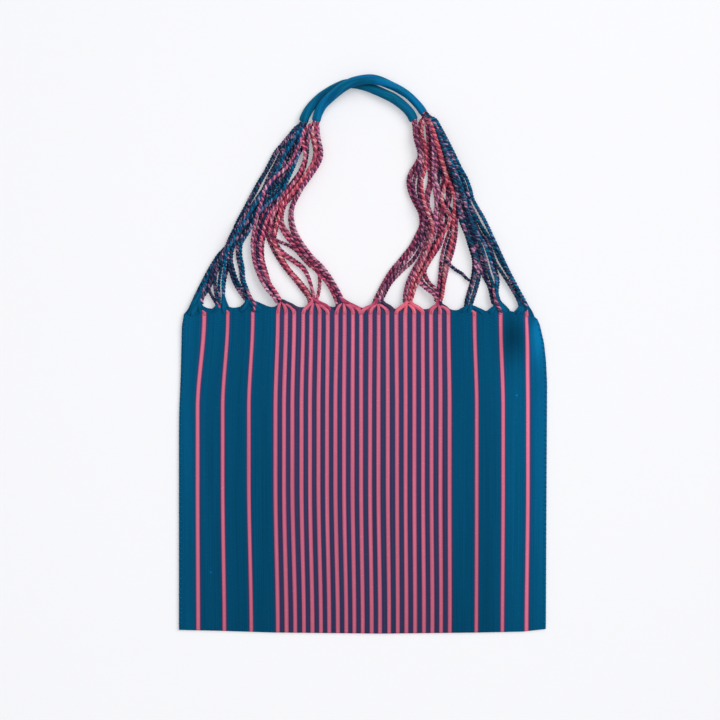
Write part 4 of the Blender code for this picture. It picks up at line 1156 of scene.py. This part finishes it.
class BAG_OT_strings(bpy.types.Operator):
    """Lay the plied strings of both faces from the mouth to the handles"""

    bl_idname = "bag.strings"
    bl_label = "Plied strings"

    def execute(self, context):
        settings = context.scene.bag_strings
        looks = {}
        for yarn, slot, first, second, fleck, share in YARNS:
            material = plied_cotton(f"plied_cotton_{yarn}", first, second, fleck, share,
                                    DEEP_DYES[slot])
            looks[yarn] = (material, slot)
        heap = Heap(settings.diameter / MM / 2, settings.flattening)
        routes = {(root, number): (end, route) for root, number, _, end, route in STRINGS}
        strings = []
        for root, number, yarn, foot_shift, shift in BACK_STRINGS:
            end, route = routes[root, number]
            strings.append(("back", root, number, yarn, end, self.beside(route, foot_shift, shift)))
        strings += [("front", *row) for row in STRINGS]
        stood_for = set()
        for order, (face, root, number, yarn, end, route) in enumerate(strings):
            random = np.random.default_rng(SEED * 1000 + order)
            foot_x, foot_y = route[0]
            foot_height = BACK_FOOT
            if face == "front":
                foot_height = front_surface(foot_x, min(foot_y, FOOT_TOP_Y)) - FOOT_DEPTH
            path = string_way(route, end, foot_height, self.grip_place(order), heap)
            heap.lay(path)
            piece, way = string_piece(f"string_{face}_{root}_{number}", path, settings,
                                      *looks[yarn], random)
            for node in (f"strings_{face}_{root}", f"gather_{face}_{end.split('_')[1]}"):
                if node not in stood_for:
                    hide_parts(node)
                    stood_for.add(node)
        for order, (root, number, yarn, route) in enumerate(BRIDGES):
            random = np.random.default_rng(SEED * 2000 + order)
            flat = smooth_path(route, WAY_STEP)
            x, y = flat.T
            cloth = np.where(y < rim_y(x) + RIM_REST, height_under(x, y), 0)
            height = softened(np.maximum(heap.bed(flat), cloth + BRIDGE_LIFT), passes=8)
            if y[0] < WEAVE_END_Y:
                # It comes up out of the weave.
                height -= BRIDGE_DEPTH * smooth_step(1 - lengths_along(flat) / BRIDGE_RISE)
            path = np.column_stack([flat, height])
            heap.lay(path)
            string_piece(f"string_front_{root}_{number}", path, settings, *looks[yarn], random)
        return {"FINISHED"}

    @staticmethod
    def beside(route, foot_shift, shift):
        """A route moved to the right, by one amount at its foot and another further up."""
        points = np.array(route, float)
        forward = unit(np.gradient(points, axis=0))
        right = np.column_stack([forward[:, 1], -forward[:, 0]])
        share = smooth_step(np.arange(len(points)) / SHIFT_POINTS)
        points += right * (foot_shift * (1 - share) + shift * share)[:, None]
        points[0] = (route[0][0] + foot_shift * 0.5, route[0][1] + BACK_RISE)
        return points

    @staticmethod
    def grip_place(order):
        """Where in a handle's end a string is held, across and up from its middle."""
        angle = order * EVEN_TURN
        reach = END_SPREAD * math.sqrt((order * EVEN_STEP) % 1.0)
        return reach * math.cos(angle), reach * math.sin(angle)


# The loose warp ends.

WARP_RISE = 4.0         # way over which a bundle comes up out of the weave
WARP_SUNK = 0.7         # depth of its foot in the cloth
WARP_SAG = 0.16         # how much it falls for each millimetre beyond the rim
WARP_LOWEST = 4.3       # its middle is never lower, apart from the dip of its top into the root
WARP_DIP = 1.4
# How far a bundle's middle stands over the cloth: a fan's, a teal one's and another one's.
FAN_LIFT, TEAL_LIFT, OTHER_LIFT = 0.9, 0.3, 0.7
# A fan's bundle: y of its foot, y towards which it leaves it, and widths at the foot and the top.
FAN_FOOT_Y, FAN_BEND_Y, FAN_FOOT_WIDTH, FAN_TOP_WIDTH = 43.5, 50.0, 4.5, 3.0
# Its end lies at this share of its stripe's distance from the root, give or take the stray, and
# this far below the root.
FAN_END_SHARE, FAN_STRAY, FAN_END_DEPTH = 0.12, 0.6, 0.5
FAN_TURN_SHARE, FAN_TURN_DEPTH = 0.6, 3.5       # where it turns towards that end, in the same way
THIN_BUNDLE = 5.0       # one narrower than this at its foot is thin there, another one is thick
THIN_HEIGHT, THICK_HEIGHT = 0.55, 0.85


class BAG_OT_warp_ends(bpy.types.Operator):
    """Comb the loose warp ends from the weave into the roots of the strings"""

    bl_idname = "bag.warp_ends"
    bl_label = "Loose warp ends"

    def execute(self, context):
        random = np.random.default_rng(SEED)
        bundles = {yarn: [] for yarn, *_ in LOOSE_YARNS}
        for yarn, foot_width, top_width, route in BUNDLES:
            lift = TEAL_LIFT if yarn == "teal" else OTHER_LIFT
            way = smooth_path(route, step=1.2)
            bundles[yarn].append(self.bundle(way, foot_width, top_width, lift))
        for yarn, root_x, root_y, stripes in FANS:
            for stripe in stripes:
                away = stripe - root_x
                end_x = root_x + away * FAN_END_SHARE + random.uniform(-FAN_STRAY, FAN_STRAY)
                way = self.arch((stripe, FAN_FOOT_Y), (stripe, FAN_BEND_Y),
                                (root_x + away * FAN_TURN_SHARE, root_y - FAN_TURN_DEPTH),
                                (end_x, root_y - FAN_END_DEPTH))
                bundles[yarn].append(self.bundle(way, FAN_FOOT_WIDTH, FAN_TOP_WIDTH, FAN_LIFT))
        for yarn, slot, light, dark in LOOSE_YARNS:
            counts = [len(points) for points, _, _ in bundles[yarn]]
            tint = np.repeat(random.uniform(0, 1, len(counts)), counts)
            add_piece(f"warp_ends_{yarn}", joined(bundles[yarn]),
                      loose_warp(f"loose_{yarn}_warp", light, dark), {"tint": tint})
        return {"FINISHED"}

    @staticmethod
    def arch(foot, bend, turn, top):
        """Points of a smooth arch that leaves its foot towards bend and reaches top from turn."""
        share = np.linspace(0, 1, 18)[:, None]
        return ((1 - share) ** 3 * np.array(foot) + 3 * (1 - share) ** 2 * share * np.array(bend)
                + 3 * (1 - share) * share ** 2 * np.array(turn) + share ** 3 * np.array(top))

    @staticmethod
    def bundle(flat, foot_width, top_width, lift):
        """One flat bundle of warp ends that rises out of the weave and rounds off to its top."""
        along = lengths_along(flat)
        share = along / along[-1]
        x, y = flat.T
        rise = smooth_step(along / WARP_RISE)
        height = height_under(x, y) + lift * rise - WARP_SUNK * (1 - rise)
        height = np.maximum(height - WARP_SAG * np.clip(y - rim_y(x), 0, None), WARP_LOWEST)
        height -= WARP_DIP * smooth_step((share - 0.8) / 0.2)
        path = np.column_stack([flat, softened(height, passes=2)])
        # It comes to its width at the top, narrows over the last quarter and grows thicker from a
        # third of its way on.
        wide = (foot_width + (top_width - foot_width) * smooth_step(share * 1.1)) / 2
        wide *= 1 - 0.45 * smooth_step((share - 0.75) / 0.25)
        low = THIN_HEIGHT if foot_width < THIN_BUNDLE else THICK_HEIGHT
        high = low + (top_width / 2 * 0.7 - low) * smooth_step((share - 0.35) / 0.65)
        return tube(path, ribbed_section(corners=16, depth=0.07), 0.0, wide, high)


# The handles and the seams.

# A handle's section turns with the cords under the thread, this much for each millimetre, in
# radians, and strays from that by some more.
CORD_TWIST, CORD_STRAY = 0.018, 0.3
# Its radius between two turns of the thread, the height of a turn and how uneven it is, as shares.
BARE_SHARE, THREAD_SHARE, UNEVEN_SHARE = 0.965, 0.02, 0.012
# Way over which its end rounds off, and its radius at the very end, as a share.
END_ROUND, END_SHARE = 2.2, 0.86
# The slanted loop of a stitch: share of its inner end's way in from the edge, x added to that way,
# shares of the slant and of the top's height, and z added to that height.
STITCH_LOOP = (
    (1, 0.0, 0.5, 1, -1.6), (1, -0.8, 0.4, 1, -0.1), (0, 1.0, 0.15, 1, 0.1), (0, 0.2, 0.0, 0.72, 0.0),
    (0, 0.1, -0.15, 0.42, 0.0), (0, 0.2, -0.3, 0, 0.75), (0, 1.2, -0.4, 0, 0.6), (1, 0.0, -0.5, 0, 1.3),
)
STITCH_STEPS = 13       # steps of the mesh along a stitch
STITCH_CORNERS = 8
# How far in from the edge a stitch goes, its length along the edge, and how much both may vary.
STITCH_INNER, INNER_STRAY, STITCH_SLANT, SLANT_STRAY = 3.2, 0.5, 2.4, 0.6
# Where the cloth's height under a stitch is taken, in from the edge, and its lift over that.
STITCH_SEAT, STITCH_LIFT = 2.0, 0.25
LEAST_SPACING, MOST_SPACING = 0.8, 1.2          # from stitch to stitch, as shares of the usual
SEAM_TOP_Y, SEAM_FOOT_Y = 38.0, -297.0
ALONG_Y = (0.0, 1.0, 0.0)


class BAG_OT_handles(bpy.types.Operator):
    """Wrap both handles with thread"""

    bl_idname = "bag.handles"
    bl_label = "Wrapped handles"

    def execute(self, context):
        settings = context.scene.bag_handles
        colours = context.scene.bag_colours
        thread = settings.thread / MM
        # The back handle's colour holds painted shade.
        dyes_and_shade = {"front": colours.handle, "back": colours.back_handle_with_painted_shade}
        for number, (face, rows) in enumerate(HANDLES.items()):
            random = np.random.default_rng(SEED + number)
            way = smooth_path(rows, thread / 3)
            along = lengths_along(way)
            turns = along * CORD_TWIST + CORD_STRAY * wobble(random, len(way), smoothness=150)
            ridge = THREAD_SHARE * np.cos(2 * np.pi * along / thread)
            uneven = UNEVEN_SHARE * wobble(random, len(way), smoothness=60)
            size = settings.diameter / MM / 2 * (BARE_SHARE + ridge + uneven)
            size *= table_value(HANDLE_GIRTHS[face], along / along[-1])
            from_end = np.minimum(along, along[-1] - along)
            size *= END_SHARE + (1 - END_SHARE) * np.sqrt(np.clip(from_end / END_ROUND, 0, 1))
            shape = tube(way, ribbed_section(corners=24, depth=0.035), turns, size, size)
            material = wrapped_thread(f"mercerised_thread_wrap_{face}", tuple(dyes_and_shade[face]))
            piece = add_piece(f"handle_wrap_{face}", shape, material, {})
            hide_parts(f"handle_{face}")
        return {"FINISHED"}


class BAG_OT_side_stitches(bpy.types.Operator):
    """Overcast both side edges of the bag"""

    bl_idname = "bag.side_stitches"
    bl_label = "Side stitches"

    def execute(self, context):
        settings = context.scene.bag_stitches
        material = loose_warp("overcast_cotton_yarn", *SEAM_YARN)
        for side, sign in (("left", -1), ("right", 1)):
            random = np.random.default_rng(SEED + 50 + sign)
            stitches = []
            y = SEAM_TOP_Y
            while y > SEAM_FOOT_Y:
                stitches.append(self.stitch(y, sign, settings.thread / MM / 2, random))
                y -= settings.spacing / MM * random.uniform(LEAST_SPACING, MOST_SPACING)
            tint = np.repeat(random.uniform(0, 1, len(stitches)), len(stitches[0][0]))
            piece = add_piece(f"side_stitches_{side}", joined(stitches), material,
                              {"tint": tint})
            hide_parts(f"side_seam_{side}")
        return {"FINISHED"}

    @staticmethod
    def stitch(y, sign, radius, random):
        """One slanted loop of yarn round both edges, closed inside the cloth."""
        edge = cloth_edges(y)[max(sign, 0)]
        inner = STITCH_INNER + random.uniform(-INNER_STRAY, INNER_STRAY)
        top = front_surface(edge - sign * STITCH_SEAT, y) + STITCH_LIFT
        slant = STITCH_SLANT + random.uniform(-SLANT_STRAY, SLANT_STRAY)
        rows = [(edge - sign * (inner * inward + away), y + slant * lean, top * share + over)
                for inward, away, lean, share, over in STITCH_LOOP]
        way = smooth_path(rows, count=STITCH_STEPS)
        return tube(way, np.ones(STITCH_CORNERS), 0.0, radius, radius, square_to=ALONG_Y)


# The stage.

# Lamps: name, kind, its values, place in metres, and turns about x and y in degrees.
LAMPS = (
    ("window", "SUN", {"energy": 1.41, "angle": math.radians(40), "color": linear("#fffdfc")[:3]},
     (0.0, 0.0, 0.0), (-22, 36)),
    ("overhead", "AREA", {"energy": 11.0, "size": 1.6}, (0.0, 0.0, 2.0), (0, 0)),
    ("fill", "AREA", {"energy": 2.2, "size": 1.0}, (0.8, 1.1, 1.2), (-38, 28)),
)
CAMERA_X, CAMERA_Y = -0.0033, -0.0063
SENSOR_WIDTH = 36.0
SKY = ("#fcfdff", 0.31)         # colour and strength of the light from all round
# Painted light: colour and strength of the floor's glow, which keeps shadows on it pale.
FLOOR_GLOW = ("#fdfdff", 0.262)
FLOOR_SIZE = 8.0


class BAG_OT_stage(bpy.types.Operator):
    """Set the floor, the light and the camera straight above the bag"""

    bl_idname = "bag.stage"
    bl_label = "Stage"

    def execute(self, context):
        scene = context.scene
        bpy.ops.object.select_all(action="DESELECT")
        bpy.ops.mesh.primitive_plane_add(size=FLOOR_SIZE)
        floor = context.object
        floor.name = "floor"
        # The floor glows a little, though it is no lamp: painted light that keeps shadows on it pale.
        # It is faintly clouded in spots of 9 mm.
        material, add, shader = new_material("floor_with_painted_glow", {
            "Emission Color": linear(FLOOR_GLOW[0]), "Emission Strength": FLOOR_GLOW[1],
            "Roughness": 0.95, "Specular IOR Level": 0.1})
        clouds = add("TexNoise", {}, {"Scale": FLOOR_SIZE / (8.89 * MM)}).outputs["Color"]
        set_inputs(shader, {"Base Color": add("Mix", BLEND, {
            0: 0.01, 6: tuple(scene.bag_colours.floor), 7: clouds})})
        floor.data.materials.append(material)

        scene.world = bpy.data.worlds.new("studio")
        scene.world.use_nodes = True
        set_inputs(scene.world.node_tree.nodes["Background"], {
            "Color": linear(SKY[0]), "Strength": SKY[1]})
        for name, kind, values, place, turns in LAMPS:
            light = bpy.data.lights.new(name, kind)
            for value_name, value in values.items():
                setattr(light, value_name, value)
            lamp = bpy.data.objects.new(name, light)
            lamp.location = place
            lamp.rotation_euler = (math.radians(turns[0]), math.radians(turns[1]), 0.0)
            scene.collection.objects.link(lamp)

        lens = bpy.data.cameras.new("camera")
        lens.lens = scene.bag_stage.lens
        lens.sensor_width = SENSOR_WIDTH
        scene.camera = bpy.data.objects.new("camera", lens)
        scene.camera.location = (CAMERA_X, CAMERA_Y, scene.bag_stage.camera_height)
        scene.collection.objects.link(scene.camera)
        scene.view_settings.view_transform = "Standard"
        return {"FINISHED"}


class BAG_PT_panel(bpy.types.Panel):
    """The pieces of the bag in the sidebar"""

    bl_idname = "BAG_PT_panel"
    bl_label = "Woven tote"
    bl_space_type = "VIEW_3D"
    bl_region_type = "UI"
    bl_category = "Woven tote"

    def draw(self, context):
        for operator, groups in STEPS:
            box = self.layout.box()
            box.operator(operator.bl_idname)
            for group in groups:
                settings = getattr(context.scene, group)
                for name in settings.__annotations__:
                    box.prop(settings, name)


GROUPS = (
    ("bag_colours", ColourSettings), ("bag_cloth", ClothSettings),
    ("bag_strings", StringSettings), ("bag_handles", HandleSettings),
    ("bag_stitches", StitchSettings), ("bag_stage", StageSettings),
)
# Each operator with the groups of settings that the panel shows under it.
STEPS = (
    (BAG_OT_strings, ("bag_strings",)), (BAG_OT_cloth, ("bag_cloth", "bag_colours")),
    (BAG_OT_warp_ends, ()), (BAG_OT_handles, ("bag_handles",)),
    (BAG_OT_side_stitches, ("bag_stitches",)), (BAG_OT_stage, ("bag_stage",)),
)
CLASSES = (*(group for _, group in GROUPS), *(operator for operator, _ in STEPS), BAG_PT_panel)


def register():
    """Register the settings, the operators and the panel."""
    for each in CLASSES:
        bpy.utils.register_class(each)
    for name, group in GROUPS:
        setattr(bpy.types.Scene, name, bpy.props.PointerProperty(type=group))


def unregister():
    """Take everything away again."""
    for name, _ in GROUPS:
        delattr(bpy.types.Scene, name)
    for each in reversed(CLASSES):
        bpy.utils.unregister_class(each)


def main():
    """Build every piece in order."""
    register()
    bpy.ops.bag.strings()
    bpy.ops.bag.cloth()
    bpy.ops.bag.warp_ends()
    bpy.ops.bag.handles()
    bpy.ops.bag.side_stitches()
    bpy.ops.bag.stage()


if __name__ == "__main__":
    main()
